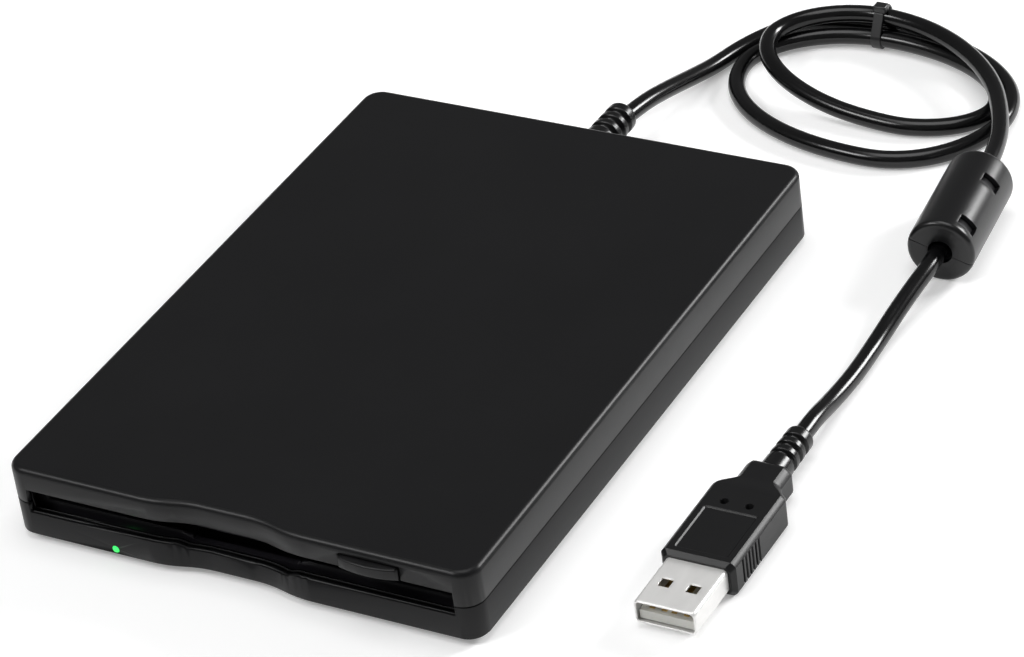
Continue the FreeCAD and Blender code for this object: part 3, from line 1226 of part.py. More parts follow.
def plug_inside():
    """Insulating tongue with four spring contacts on its upper side."""
    front = "(plug_cord_y - plug_boot - plug_neck - plug_grip)"
    tongue = block("tongue_bar", ("plug_x - 5.6", "plug_x + 5.6"), ("%s - shell_length + 0.6" % front, front),
                   ("plug_level - shell_height / 2 + shell_steel + 0.05", "plug_level"))
    finish("plug_tongue", tongue)
    contacts = []
    for number, x in enumerate((-3.5, -1.0, 1.0, 3.5)):
        contacts.append(block("contact_%d" % number, ("plug_x + %s" % (x - 0.5), "plug_x + %s" % (x + 0.5)),
                              ("%s - shell_length + 1.6" % front, front), ("plug_level", "plug_level + 0.2")))
    finish("plug_contacts", group("contacts", *contacts))


def build():
    """Makes every sub-part."""
    top_cover()
    bottom_cover()
    rubber_feet()
    screws("case_screws", (("-screw_x", "screw_y"), ("screw_x", "screw_y")),
           "foot_height + 1", "foot_height + 2.3", "foot_height + 2.2", "12", "1.9", "0.9")
    screws("mechanism_screws", (("-40", "-48"), ("40", "-48"), ("-40", "36"), ("40", "36")),
           "plate_top", "plate_top + 0.6", "plate_low - 1.8", "plate_top + 0.1", "1.8", "0.9")
    slot_bezel()
    dust_door()
    eject_button()
    eject_slider()
    disk_carrier()
    chassis()
    mechanism_top_plate()
    shutter_lever()
    lever_pin()
    spindle()
    positioner()
    head_arm()
    boards()
    light_pipe()
    ringed_sleeve("cord_boot", size("back_y - wall - 2.1"), size("boot_length + wall + 2.1"),
                  size("boot_radius"), size("boot_tip_radius"), (8.8, 13.3, 17.8), size("cord_level"), 0.0,
                  1.6, True)
    cords()
    cable_tie()
    ferrite()
    ringed_sleeve("plug_boot", size("plug_cord_y - plug_boot"), size("plug_boot"),
                  size("plug_thick / 2 + 0.1"), 3.1, (2.4, 4.9, 7.4, 9.9), size("plug_level"), size("plug_x"),
                  0.9, False)
    plug_overmould()
    plug_shell()
    plug_inside()


def check_and_write():
    """Refuses a failed object or a bad shape, then writes one file for each sub-part."""
    doc.recompute()
    for item in doc.Objects:
        if "Invalid" in item.State or "Error" in item.State:
            raise ValueError("%s failed: %s" % (item.Label, item.State))
    for piece in pieces:
        if piece.Shape.isNull() or not piece.Shape.isValid():
            raise ValueError("%s has no valid shape" % piece.Label)
    os.makedirs("parts", exist_ok=True)
    for piece in pieces:
        piece.Shape.exportStep("parts/%s.step" % piece.Label)


build()
check_and_write()
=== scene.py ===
"""Studio picture of an external floppy disk drive with its coiled cord, ferrite and plug."""
import json
import math

import bmesh
import bpy
import numpy as np
from mathutils import Matrix, Vector


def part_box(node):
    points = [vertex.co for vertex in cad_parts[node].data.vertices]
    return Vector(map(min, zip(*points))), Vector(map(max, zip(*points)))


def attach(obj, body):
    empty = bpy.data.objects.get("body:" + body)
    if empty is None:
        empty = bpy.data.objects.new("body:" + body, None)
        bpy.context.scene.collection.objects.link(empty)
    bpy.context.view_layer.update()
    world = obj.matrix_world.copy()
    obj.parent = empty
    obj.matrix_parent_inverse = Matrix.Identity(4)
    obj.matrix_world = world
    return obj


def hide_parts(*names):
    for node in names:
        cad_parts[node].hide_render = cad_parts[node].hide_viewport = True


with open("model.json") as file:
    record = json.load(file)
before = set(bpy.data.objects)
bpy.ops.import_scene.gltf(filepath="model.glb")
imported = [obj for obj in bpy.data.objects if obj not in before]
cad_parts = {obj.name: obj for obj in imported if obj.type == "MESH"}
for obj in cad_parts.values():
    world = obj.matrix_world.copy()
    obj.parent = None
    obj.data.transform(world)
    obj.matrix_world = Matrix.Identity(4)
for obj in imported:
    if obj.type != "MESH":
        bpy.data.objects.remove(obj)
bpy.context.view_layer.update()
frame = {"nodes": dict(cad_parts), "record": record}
scene = bpy.context.scene
scene.view_settings.view_transform = "Standard"
nodes = frame["nodes"]
body_of = {node: body
           for body, members in frame["record"]["behaviour"]["bodies"].items() for node in members}
slot_of = {row["node"]: row["material_slot"] for row in frame["record"]["subparts"]}
MM = 0.001


# Camera, fitted to the corners of the case in the photograph

CAMERA_SPOT = Vector((0.3901, -0.5723, 0.4802))
FOCAL_LENGTH = 148.07
YAW, PITCH, ROLL = math.radians(32.74), math.radians(34.18), math.radians(-8.10)

view_way = Vector((-math.sin(YAW) * math.cos(PITCH), math.cos(YAW) * math.cos(PITCH),
                   -math.sin(PITCH)))
level_right = view_way.cross(Vector((0, 0, 1))).normalized()
level_up = level_right.cross(view_way)
camera_right = level_right * math.cos(ROLL) + level_up * math.sin(ROLL)
camera_up = level_up * math.cos(ROLL) - level_right * math.sin(ROLL)
lens = bpy.data.cameras.new("studio_camera")
lens.sensor_width = 36.0
lens.lens = FOCAL_LENGTH
lens.clip_end = 20.0
camera = bpy.data.objects.new("studio_camera", lens)
camera.matrix_world = Matrix((
    (camera_right.x, camera_up.x, -view_way.x, CAMERA_SPOT.x),
    (camera_right.y, camera_up.y, -view_way.y, CAMERA_SPOT.y),
    (camera_right.z, camera_up.z, -view_way.z, CAMERA_SPOT.z),
    (0, 0, 0, 1),
))
scene.collection.objects.link(camera)
scene.camera = camera


# Materials

MIX_FACTOR, MIX_LOW, MIX_HIGH, MIX_RESULT = 0, 6, 7, 2
DRIFT_DETAIL, PORE_DETAIL = 4.0, 2.0
PORE_DEPTH = 0.00005
COAT_ROUGHNESS = 0.1
GLOW_MIDDLE, GLOW_EDGE = (0.05, 0.86, 0.16, 1), (0.0, 0.40, 0.03, 1)


def finish(name, colour, roughness, metallic=0.0, specular=0.5, shift=0.0, shift_scale=60.0,
           grain=0.0, grain_scale=4000.0, coat=0.0, rough_shift=0.0, stretch=(1, 1, 1)):
    """A finish from its colour and gloss, with soft colour drift, roughness drift and a fine relief."""
    made = bpy.data.materials.new(name)
    made.use_nodes = True
    tree = made.node_tree
    shader = tree.nodes["Principled BSDF"]
    shader.inputs["Metallic"].default_value = metallic
    shader.inputs["Specular IOR Level"].default_value = specular
    shader.inputs["Coat Weight"].default_value = coat
    shader.inputs["Coat Roughness"].default_value = COAT_ROUGHNESS
    spot = tree.nodes.new("ShaderNodeTexCoord")
    spread = tree.nodes.new("ShaderNodeMapping")
    spread.inputs["Scale"].default_value = stretch
    tree.links.new(spot.outputs["Object"], spread.inputs["Vector"])
    drift = tree.nodes.new("ShaderNodeTexNoise")
    drift.inputs["Scale"].default_value = shift_scale
    drift.inputs["Detail"].default_value = DRIFT_DETAIL
    tree.links.new(spread.outputs["Vector"], drift.inputs["Vector"])
    if shift:
        tint = tree.nodes.new("ShaderNodeMix")
        tint.data_type = "RGBA"
        tint.inputs[MIX_LOW].default_value = [channel * (1 - shift) for channel in colour] + [1]
        tint.inputs[MIX_HIGH].default_value = [min(channel * (1 + shift), 1) for channel in colour] + [1]
        tree.links.new(drift.outputs["Fac"], tint.inputs[MIX_FACTOR])
        tree.links.new(tint.outputs[MIX_RESULT], shader.inputs["Base Color"])
    else:
        shader.inputs["Base Color"].default_value = (*colour, 1)
    if rough_shift:
        gloss = tree.nodes.new("ShaderNodeMapRange")
        gloss.inputs["To Min"].default_value = max(roughness - rough_shift, 0.03)
        gloss.inputs["To Max"].default_value = min(roughness + rough_shift, 1.0)
        tree.links.new(drift.outputs["Fac"], gloss.inputs["Value"])
        tree.links.new(gloss.outputs["Result"], shader.inputs["Roughness"])
    else:
        shader.inputs["Roughness"].default_value = roughness
    if grain:
        pores = tree.nodes.new("ShaderNodeTexNoise")
        pores.inputs["Scale"].default_value = grain_scale
        pores.inputs["Detail"].default_value = PORE_DETAIL
        tree.links.new(spread.outputs["Vector"], pores.inputs["Vector"])
        relief = tree.nodes.new("ShaderNodeBump")
        relief.inputs["Strength"].default_value = grain
        relief.inputs["Distance"].default_value = PORE_DEPTH
        tree.links.new(pores.outputs["Fac"], relief.inputs["Height"])
        tree.links.new(relief.outputs["Normal"], shader.inputs["Normal"])
    return made


def lamp_finish(name, colour, strength):
    """Clear plastic lit from behind: brightest where the dome faces the viewer."""
    made = finish(name, colour, 0.15, specular=0.5, shift=0.1)
    tree = made.node_tree
    shader = tree.nodes["Principled BSDF"]
    shader.inputs["Emission Strength"].default_value = strength
    glow = tree.nodes.new("ShaderNodeMix")
    glow.data_type = "RGBA"
    edge = tree.nodes.new("ShaderNodeLayerWeight")
    edge.inputs["Blend"].default_value = 0.4
    glow.inputs[MIX_LOW].default_value = GLOW_MIDDLE
    glow.inputs[MIX_HIGH].default_value = GLOW_EDGE
    tree.links.new(edge.outputs["Facing"], glow.inputs[MIX_FACTOR])
    tree.links.new(glow.outputs[MIX_RESULT], shader.inputs["Emission Color"])
    return made


case_black = finish("case_black", (0.0082, 0.0082, 0.0088), 0.34, specular=0.2, shift=0.12,
                    shift_scale=45, grain=0.16, grain_scale=3200, rough_shift=0.03)
button_black = finish("button_black", (0.0085, 0.0085, 0.009), 0.36, specular=0.25, shift=0.1,
                      grain=0.15, grain_scale=3600, rough_shift=0.03)
bezel_black = finish("bezel_black", (0.012, 0.011, 0.014), 0.45, specular=0.35, shift=0.15, grain=0.2)
plug_black = finish("plug_black", (0.0075, 0.0075, 0.008), 0.36, specular=0.28, shift=0.1, grain=0.2,
                    grain_scale=3000, rough_shift=0.04)
cord_black = finish("cord_black", (0.003, 0.003, 0.0033), 0.2, specular=0.42, shift=0.15,
                    shift_scale=120, grain=0.12, grain_scale=1500, rough_shift=0.05)
sleeve_black = finish("sleeve_black", (0.004, 0.004, 0.0043), 0.28, specular=0.42, shift=0.12,
                      grain=0.2, grain_scale=2600, rough_shift=0.05)
tie_black = finish("tie_black", (0.010, 0.010, 0.0105), 0.35, specular=0.5, shift=0.2, grain=0.1,
                   grain_scale=1800)
foot_rubber = finish("foot_rubber", (0.014, 0.014, 0.014), 0.8, specular=0.25, shift=0.25, grain=0.5,
                     grain_scale=2200)
ferrite_black = finish("ferrite_black", (0.005, 0.005, 0.0055), 0.3, specular=0.45, shift=0.1,
                       grain=0.14, grain_scale=2400, rough_shift=0.04)
core_grey = finish("core_grey", (0.10, 0.10, 0.105), 0.75, shift=0.35, shift_scale=300, grain=0.6,
                   grain_scale=2500)
zinc_sheet = finish("zinc_sheet", (0.50, 0.51, 0.52), 0.34, metallic=1.0, shift=0.14,
                    shift_scale=220, grain=0.1, rough_shift=0.1)
ground_steel = finish("ground_steel", (0.56, 0.56, 0.57), 0.22, metallic=1.0, shift=0.08,
                      shift_scale=400, stretch=(1, 0.05, 1), rough_shift=0.06)
screw_black = finish("screw_black", (0.03, 0.03, 0.032), 0.35, metallic=0.8, shift=0.2, shift_scale=500)
rotor_steel = finish("rotor_steel", (0.52, 0.52, 0.54), 0.28, metallic=1.0, shift=0.1,
                     shift_scale=300, rough_shift=0.08)
can_metal = finish("can_metal", (0.62, 0.62, 0.63), 0.3, metallic=1.0, shift=0.1, shift_scale=250,
                   rough_shift=0.08)
brass = finish("brass", (0.62, 0.43, 0.16), 0.28, metallic=1.0, shift=0.12, shift_scale=350,
               rough_shift=0.06)
off_white = finish("off_white", (0.62, 0.60, 0.54), 0.42, shift=0.08, grain=0.2, grain_scale=2600)
board_green = finish("board_green", (0.012, 0.11, 0.04), 0.25, specular=0.5, shift=0.3,
                     shift_scale=900, coat=0.3)
chip_black = finish("chip_black", (0.014, 0.014, 0.015), 0.6, shift=0.2, grain=0.5, grain_scale=5000)
shell_nickel = finish("shell_nickel", (0.86, 0.855, 0.84), 0.33, metallic=0.45, shift=0.06,
                      shift_scale=500, grain=0.06, grain_scale=1500, rough_shift=0.07,
                      stretch=(1, 0.3, 1))
tongue_white = finish("tongue_white", (0.64, 0.64, 0.60), 0.4, shift=0.06, grain=0.15)
contact_gold = finish("contact_gold", (0.80, 0.55, 0.20), 0.2, metallic=1.0, shift=0.08, shift_scale=600)
lamp_green = lamp_finish("lamp_green", (0.03, 0.55, 0.12), 1.0)

FINISHES = {
    "case_black": case_black, "plug_black": plug_black, "cord_black": cord_black,
    "tie_black": tie_black, "foot_rubber": foot_rubber, "light_pipe": lamp_green,
    "ferrite_case": ferrite_black, "ferrite_grey": core_grey, "zinc_sheet": zinc_sheet,
    "steel": ground_steel, "screw_steel": screw_black, "rotor_steel": rotor_steel,
    "motor_can": can_metal, "bearing_brass": brass, "carriage_plastic": off_white,
    "board_green": board_green, "chip_black": chip_black, "shell_nickel": shell_nickel,
    "tongue_white": tongue_white, "contact_gold": contact_gold,
}


def dress(thing, material):
    """Puts one finish on the whole of an object."""
    thing.data.materials.clear()
    thing.data.materials.append(material)


for node, thing in nodes.items():
    dress(thing, FINISHES[slot_of[node]])


# Mesh helpers

SHADING_ANGLE = 50
NODE_GAP, NODE_SLIVER = 2e-6, 1e-7
GRID_GAP, GRID_SLIVER = 1e-7, 1e-8


def settle(thing, node_names, material):
    """Dresses a finished piece, hides the nodes it stands for and lets it ride on the first node's body.
    """
    dress(thing, material)
    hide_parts(*node_names)
    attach(thing, body_of[node_names[0]])
    return thing


def even_shading(thing, angle):
    """Smooth shading that stops at edges sharper than the angle, weighted by face area."""
    mesh = thing.data
    mesh.shade_smooth()
    mesh.set_sharp_from_angle(angle=math.radians(angle))
    weight = thing.modifiers.new("even_shading", "WEIGHTED_NORMAL")
    weight.keep_sharp = True


def joined(name, node):
    """A node's own shape with its loose triangles merged and its roundings shaded as one surface."""
    mesh = nodes[node].data.copy()
    mesh.name = name
    work = bmesh.new()
    work.from_mesh(mesh)
    bmesh.ops.remove_doubles(work, verts=work.verts, dist=NODE_GAP)
    bmesh.ops.dissolve_degenerate(work, edges=work.edges, dist=NODE_SLIVER)
    work.to_mesh(mesh)
    work.free()
    thing = bpy.data.objects.new(name, mesh)
    scene.collection.objects.link(thing)
    even_shading(thing, SHADING_ANGLE)
    return thing


def sheet_mesh(name, points, angle, close_rows=False, close_columns=True, keep=None):
    """A grid of points [row, column, xyz] as one surface; keep is a mask of the faces that stay."""
    rows, columns = points.shape[:2]
    number = np.arange(rows * columns).reshape(rows, columns)
    row_end = rows if close_rows else rows - 1
    column_end = columns if close_columns else columns - 1
    here = number[:row_end, :column_end]
    right = np.roll(number, -1, axis=1)[:row_end, :column_end]
    above = np.roll(number, -1, axis=0)[:row_end, :column_end]
    across = np.roll(np.roll(number, -1, axis=0), -1, axis=1)[:row_end, :column_end]
    faces = np.stack([here, right, across, above], axis=-1)
    faces = faces.reshape(-1, 4) if keep is None else faces[keep[:row_end, :column_end]]
    mesh = bpy.data.meshes.new(name)
    mesh.from_pydata(points.reshape(-1, 3).tolist(), [], faces.tolist())
    work = bmesh.new()
    work.from_mesh(mesh)
    bmesh.ops.remove_doubles(work, verts=work.verts, dist=GRID_GAP)
    bmesh.ops.dissolve_degenerate(work, edges=work.edges, dist=GRID_SLIVER)
    if keep is None:
        bmesh.ops.recalc_face_normals(work, faces=work.faces)
    work.to_mesh(mesh)
    work.free()
    thing = bpy.data.objects.new(name, mesh)
    scene.collection.objects.link(thing)
    even_shading(thing, angle)
    return thing


# Cord: straight out of the drive, down to the floor, two and a third loose turns, then to the plug

CORD_DIAMETER = 0.0038
STEPS_IN_QUARTER = 4

# x, y and height in millimetres, and the heading in degrees, where each quarter turn ends
QUARTERS = (
    (11.6, 144.2, 1.9, 56), (33.0, 150.1, 2.7, 0), (73.9, 124.5, 1.9, -90), (51.0, 100.2, 1.9, -180),
    (9.5, 127.0, 1.9, -270), (36.0, 145.4, 2.7, -360), (70.0, 126.8, 1.9, -450), (51.0, 113.9, 1.9, -540),
    (13.9, 132.6, 6.6, -630), (35.0, 147.9, 6.9, -720), (74.9, 118.4, 6.4, -790),
)
DRIVE_RUN = ((0.8, 88.6, 9.3), (1.6, 96.3, 8.9), (2.6, 105.5, 7.0), (3.3, 115.0, 4.4),
             (4.4, 124.5, 2.2), (6.2, 132.6, 1.9), (9.7, 140.2, 1.9))
PLUG_RUN = ((78.94, 107.31, 6.4), (80.99, 93.33, 7.1), (83.81, 65.47, 7.1), (82.3, 51.5, 4.8),
            (81.3, 39.0, 1.9), (81.7, 27.5, 1.9), (81.4, 17.5, 2.4), (81.6, 9.9, 3.9), (81.6, 4.0, 3.9),
            (81.6, 2.2, 3.9))


def coil_points():
    """Quarter ellipses between the marks: centre plus one half axis times cos t plus the other times
    sin t, with the height eased from mark to mark. The drive run replaces the first point."""
    points = []
    for start, end in zip(QUARTERS, QUARTERS[1:]):
        a, b = np.array(start[:2]), np.array(end[:2])
        way_a = np.array((math.cos(math.radians(start[3])), math.sin(math.radians(start[3]))))
        way_b = np.array((math.cos(math.radians(end[3])), math.sin(math.radians(end[3]))))
        along = np.linalg.solve(np.column_stack((way_a, way_b)), b - a)[0]
        corner = a + way_a * along
        middle = a + b - corner
        for step in range(STEPS_IN_QUARTER):
            t = step * math.pi / 2 / STEPS_IN_QUARTER
            x, y = middle + (a - middle) * math.cos(t) + (b - middle) * math.sin(t)
            rise = step / STEPS_IN_QUARTER
            points.append((x, y, start[2] + (end[2] - start[2]) * rise * rise * (3 - 2 * rise)))
    points.append(QUARTERS[-1][:3])
    return points[1:]


def lay_cord():
    """One smooth spline through the whole route, as thick as the jacket."""
    curve = bpy.data.curves.new("drive_cord", "CURVE")
    curve.dimensions = "3D"
    route = list(DRIVE_RUN) + coil_points() + list(PLUG_RUN)
    spline = curve.splines.new("NURBS")
    spline.points.add(len(route) - 1)
    for point, (x, y, z) in zip(spline.points, route):
        point.co = (x * MM, y * MM, z * MM, 1)
    spline.order_u = 3
    spline.use_endpoint_u = True
    spline.resolution_u = 10
    spline.use_smooth = True
    curve.bevel_depth = CORD_DIAMETER / 2
    curve.bevel_resolution = 8
    curve.use_fill_caps = True
    cord = bpy.data.objects.new("drive_cord", curve)
    scene.collection.objects.link(cord)
    dress(cord, cord_black)
    return cord


cord = lay_cord()


# Ringed sleeves

PLUG_X, PLUG_Z = 81.6, 3.9
EXIT_Z = 9.3
CORD_BORE = 1.95


def ringed_sleeve(name, x, z, start, profile):
    """A surface of revolution along y: the profile's distance and radius turned through a circle."""
    distance, radius = profile
    angle = np.linspace(0, 2 * np.pi, 65)[:-1]
    points = np.empty((len(distance), len(angle), 3))
    points[..., 0] = x + radius[:, None] * np.sin(angle)
    points[..., 1] = start + distance[:, None] * np.ones_like(angle)
    points[..., 2] = z + radius[:, None] * np.cos(angle)
    return sheet_mesh(name, points * MM, 60)


def sleeve_profile(length, base, tip, grooves, depth, half_width, nose):
    """Radius falls evenly from base to tip, less a soft notch at each groove, with a rounded nose and
    a bored end."""
    along = np.linspace(0, length - nose, 150)
    radius = base + (tip - base) * along / length
    for groove in grooves:
        radius -= depth * np.exp(-np.abs((along - groove) / half_width) ** 4)
    turn = np.linspace(0.06, 1, 9) * np.pi / 2
    along = np.concatenate(([0], along, length - nose + nose * np.sin(turn), [length, length - 3]))
    end = radius[-1]
    radius = np.concatenate(([0], radius, end - nose + nose * np.cos(turn), [CORD_BORE, CORD_BORE]))
    return along, radius


settle(
    ringed_sleeve("drive_sleeve", 0, EXIT_Z, 71.8,
                  sleeve_profile(18.0, 3.74, 3.4, (8.6, 11.6, 14.6), 0.95, 0.62, 0.9)),
    ["cord_boot"], sleeve_black)
plug_boot = settle(
    ringed_sleeve("plug_sleeve", PLUG_X, PLUG_Z, -11.0,
                  sleeve_profile(14.4, 3.1, 2.85, (5.6, 8.3, 11.0), 0.8, 0.52, 0.8)),
    ["plug_boot"], sleeve_black)


# Cable tie round the coil

STRANDS = np.array(((145.4, 2.7), (150.1, 2.7), (147.9, 6.9)))
TIE_X, TIE_CLEAR, TIE_THICK, TIE_WIDE = 34.6, 1.98, 0.6, 2.1


def tie_band():
    """A flat band whose section is a rounded oblong, carried round the hull of the tied strands:
    an arc about each strand, and straight between the arcs."""
    stops = []
    for before, here, after in zip(np.roll(STRANDS, 1, axis=0), STRANDS, np.roll(STRANDS, -1, axis=0)):
        into, out = here - before, after - here
        first = math.atan2(-into[0], into[1])
        last = math.atan2(-out[0], out[1])
        while last < first:
            last += 2 * math.pi
        turn = np.linspace(first, last, 15)
        stops.append(np.column_stack((here[0] + 0 * turn, here[1] + 0 * turn, np.cos(turn),
                                      np.sin(turn))))
    stops = np.concatenate(stops)
    section = np.array(((0, -1), (0, 1), (0.12, 1.08), (0.5, 1.14), (0.88, 1.08), (1, 1), (1, -1),
                        (0.88, -1.08), (0.5, -1.14), (0.12, -1.08)))
    reach = TIE_CLEAR + section[:, 0] * TIE_THICK
    points = np.empty((len(stops), len(section), 3))
    points[..., 0] = TIE_X + section[:, 1] * TIE_WIDE / 2
    points[..., 1] = stops[:, None, 0] + stops[:, None, 2] * reach
    points[..., 2] = stops[:, None, 1] + stops[:, None, 3] * reach
    return sheet_mesh("tie_band", points * MM, 40, close_rows=True)


band = settle(tie_band(), ["cable_tie"], tie_black)


def rounded_block(name, centre, half, corner):
    """A block with rounded edges: a sphere's points, each pushed out by the sign of its place to the
    block's inner corners. The small turn keeps every point off the planes where the sign is 0."""
    up = np.linspace(-np.pi / 2, np.pi / 2, 21)
    around = np.linspace(0, 2 * np.pi, 41)[:-1] + 1e-4
    points = np.empty((len(up), len(around), 3))
    points[..., 0] = np.cos(up)[:, None] * np.cos(around)
    points[..., 1] = np.cos(up)[:, None] * np.sin(around)
    points[..., 2] = np.sin(up)[:, None] * np.ones_like(around)
    nearly_sign = np.clip(points * 1e3, -1, 1)
    points = points * corner + nearly_sign * (np.array(half) - corner)
    points[0, :, :2] = 0
    points[-1, :, :2] = 0
    return sheet_mesh(name, (points + np.array(centre)) * MM, 70)


tie_head = rounded_block("tie_head", (34.9, 146.6, 9.5), (1.5, 1.2, 0.85), 0.4)
dress(tie_head, tie_black)
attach(tie_head, "drive")


# Plug: moulded grip

GRIP_BACK, GRIP_FRONT, NECK_END, NECK_START = -19.4, -41.8, -15.5, -10.0
NECK_HALF_WIDTH, NECK_HALF_HEIGHT = 4.8, 3.42
GRIP_WIDER, GRIP_TALLER = 2.9, 0.38
FRONT_ROUNDING, FRONT_DRAW_IN, NECK_DRAW_IN = 0.9, 0.75, 0.4
PANEL_START, PANEL_END, PANEL_HALF_WIDTH, PANEL_DEPTH = GRIP_FRONT + 2.0, GRIP_FRONT + 14.9, 5.2, 0.28
DIMPLES_Y, DIMPLES_X, DIMPLE_RADIUS, DIMPLE_DEPTH = GRIP_BACK - 5.0, (-2.6, 2.6), 0.6, 1.3
RIBS_START, RIBS_END, RIB_PITCH, RIB_COUNT, RIB_DEPTH = GRIP_FRONT + 3.4, GRIP_FRONT + 11.3, 1.35, 6, 0.5
BOTTOM_STEPS = 20


def soft_step(value, start, end):
    """0 before start, 1 after end, and an even s-shaped rise between them."""
    t = np.clip((value - start) / (end - start), 0, 1)
    return t * t * (3 - 2 * t)


def plug_grip():
    """A bevelled oblong section carried along the axis, wide at the grip and narrow at the neck; the
    panel and dimples are pressed into its top, and the ribs stand on its sides."""
    y = np.concatenate((
        np.linspace(GRIP_FRONT, GRIP_FRONT + FRONT_ROUNDING, 10),
        np.linspace(GRIP_FRONT + 1.05, GRIP_FRONT + 3.2, 14),
        np.linspace(GRIP_FRONT + 3.3, GRIP_FRONT + 12.4, 92),
        np.linspace(GRIP_FRONT + 12.6, GRIP_BACK, 56),
        np.linspace(GRIP_BACK + 0.3, NECK_END, 16),
        np.linspace(NECK_END + 0.3, NECK_START, 12)))
    widen = 1 - soft_step(y, GRIP_BACK - 0.3, NECK_END + 0.3)
    front = np.clip((GRIP_FRONT + FRONT_ROUNDING - y) / FRONT_ROUNDING, 0, 1)
    tip = soft_step(y, NECK_START - 0.7, NECK_START)
    drawn_in = FRONT_DRAW_IN * front + NECK_DRAW_IN * tip
    half_width = NECK_HALF_WIDTH + GRIP_WIDER * widen - drawn_in
    half_height = NECK_HALF_HEIGHT + GRIP_TALLER * widen - drawn_in
    bevel = 1.0 + 0.5 * (1 - widen)
    top = np.linspace(-1, 1, 92)
    side = np.linspace(-1, 1, 15)
    corner = np.linspace(0, 1, 6)[1:-1]
    bottom = np.linspace(-1, 1, BOTTOM_STEPS)
    inner_w = (half_width - bevel)[:, None]
    inner_h = (half_height - bevel)[:, None]
    b = bevel[:, None]
    arc_c, arc_s = np.cos(corner * np.pi / 2), np.sin(corner * np.pi / 2)
    flat = 0.72
    arc_x = flat * (1 - corner) + (1 - flat) * arc_c
    arc_z = flat * corner + (1 - flat) * arc_s
    # Order round the section: top from left to right, corner, right side down, corner, bottom from
    # right to left, corner, left side up, corner
    x = np.concatenate([
        inner_w * top, inner_w + b * arc_x[::-1], inner_w + b + 0 * side, inner_w + b * arc_x,
        -inner_w * bottom, -inner_w - b * arc_x[::-1], -inner_w - b + 0 * side, -inner_w - b * arc_x,
    ], axis=1)
    z = np.concatenate([
        inner_h + b + 0 * top, inner_h + b * arc_z[::-1], -inner_h * side, -inner_h - b * arc_z,
        -inner_h - b + 0 * bottom, -inner_h - b * arc_z[::-1], inner_h * side, inner_h + b * arc_z,
    ], axis=1)
    yy = y[:, None] + 0 * x
    on_top = np.zeros(x.shape[1], bool)
    on_top[:len(top)] = True
    first_side = len(top) + len(corner)
    last_side = first_side + len(side) + BOTTOM_STEPS + 3 * len(corner)
    panel = (soft_step(yy, PANEL_START, PANEL_START + 0.35)
             * (1 - soft_step(yy, PANEL_END, PANEL_END + 0.35))
             * (1 - soft_step(np.abs(x), PANEL_HALF_WIDTH, PANEL_HALF_WIDTH + 0.3)))
    dimples = np.zeros_like(x)
    for middle in DIMPLES_X:
        away = np.hypot(x - middle, yy - DIMPLES_Y)
        dimples += 1 - soft_step(away, DIMPLE_RADIUS, DIMPLE_RADIUS + 0.25)
    z = z - np.where(on_top, PANEL_DEPTH * panel + DIMPLE_DEPTH * dimples, 0)
    phase = np.clip((yy - RIBS_START) / RIB_PITCH, 0, RIB_COUNT - 0.001)
    within = phase - np.floor(phase)
    rib = (soft_step(within, 0.0, 0.12) * (1 - soft_step(within, 0.42, 0.54))
           * (yy > RIBS_START) * (yy < RIBS_END))
    tall = 1 - soft_step(np.abs(z), 2.5, 2.75)
    for start, sign in ((first_side, -1), (last_side, 1)):
        stretch = slice(start, start + len(side))
        x[:, stretch] += sign * RIB_DEPTH * (rib * tall)[:, stretch]
    ring = np.stack([x + PLUG_X, yy, z + PLUG_Z], axis=-1)
    cap_front = ring[:1] * np.array((0, 1, 0)) + np.array((PLUG_X, 0, PLUG_Z))
    near_front = cap_front + (ring[:1] - cap_front) * np.array((0.985, 1, 0.985))
    cap_back = ring[-1:] * np.array((0, 1, 0)) + np.array((PLUG_X, 0, PLUG_Z))
    near_back = cap_back + (ring[-1:] - cap_back) * np.array((0.97, 1, 0.97))
    points = np.concatenate((cap_front + 0 * ring[:1], near_front, ring, near_back,
                             cap_back + 0 * ring[:1]))
    return sheet_mesh("plug_grip", points * MM, 32)


grip = settle(plug_grip(), ["plug_overmould"], plug_black)


# Plug: folded metal shell

SHELL_HALF_WIDTH, SHELL_HALF_HEIGHT = 6.0, 2.25
SHELL_WINDOW_X, SHELL_WINDOW_HALF_WIDTH = 2.85, 1.2
SHELL_WINDOW_BACK, SHELL_WINDOW_FRONT = -47.6, -50.0


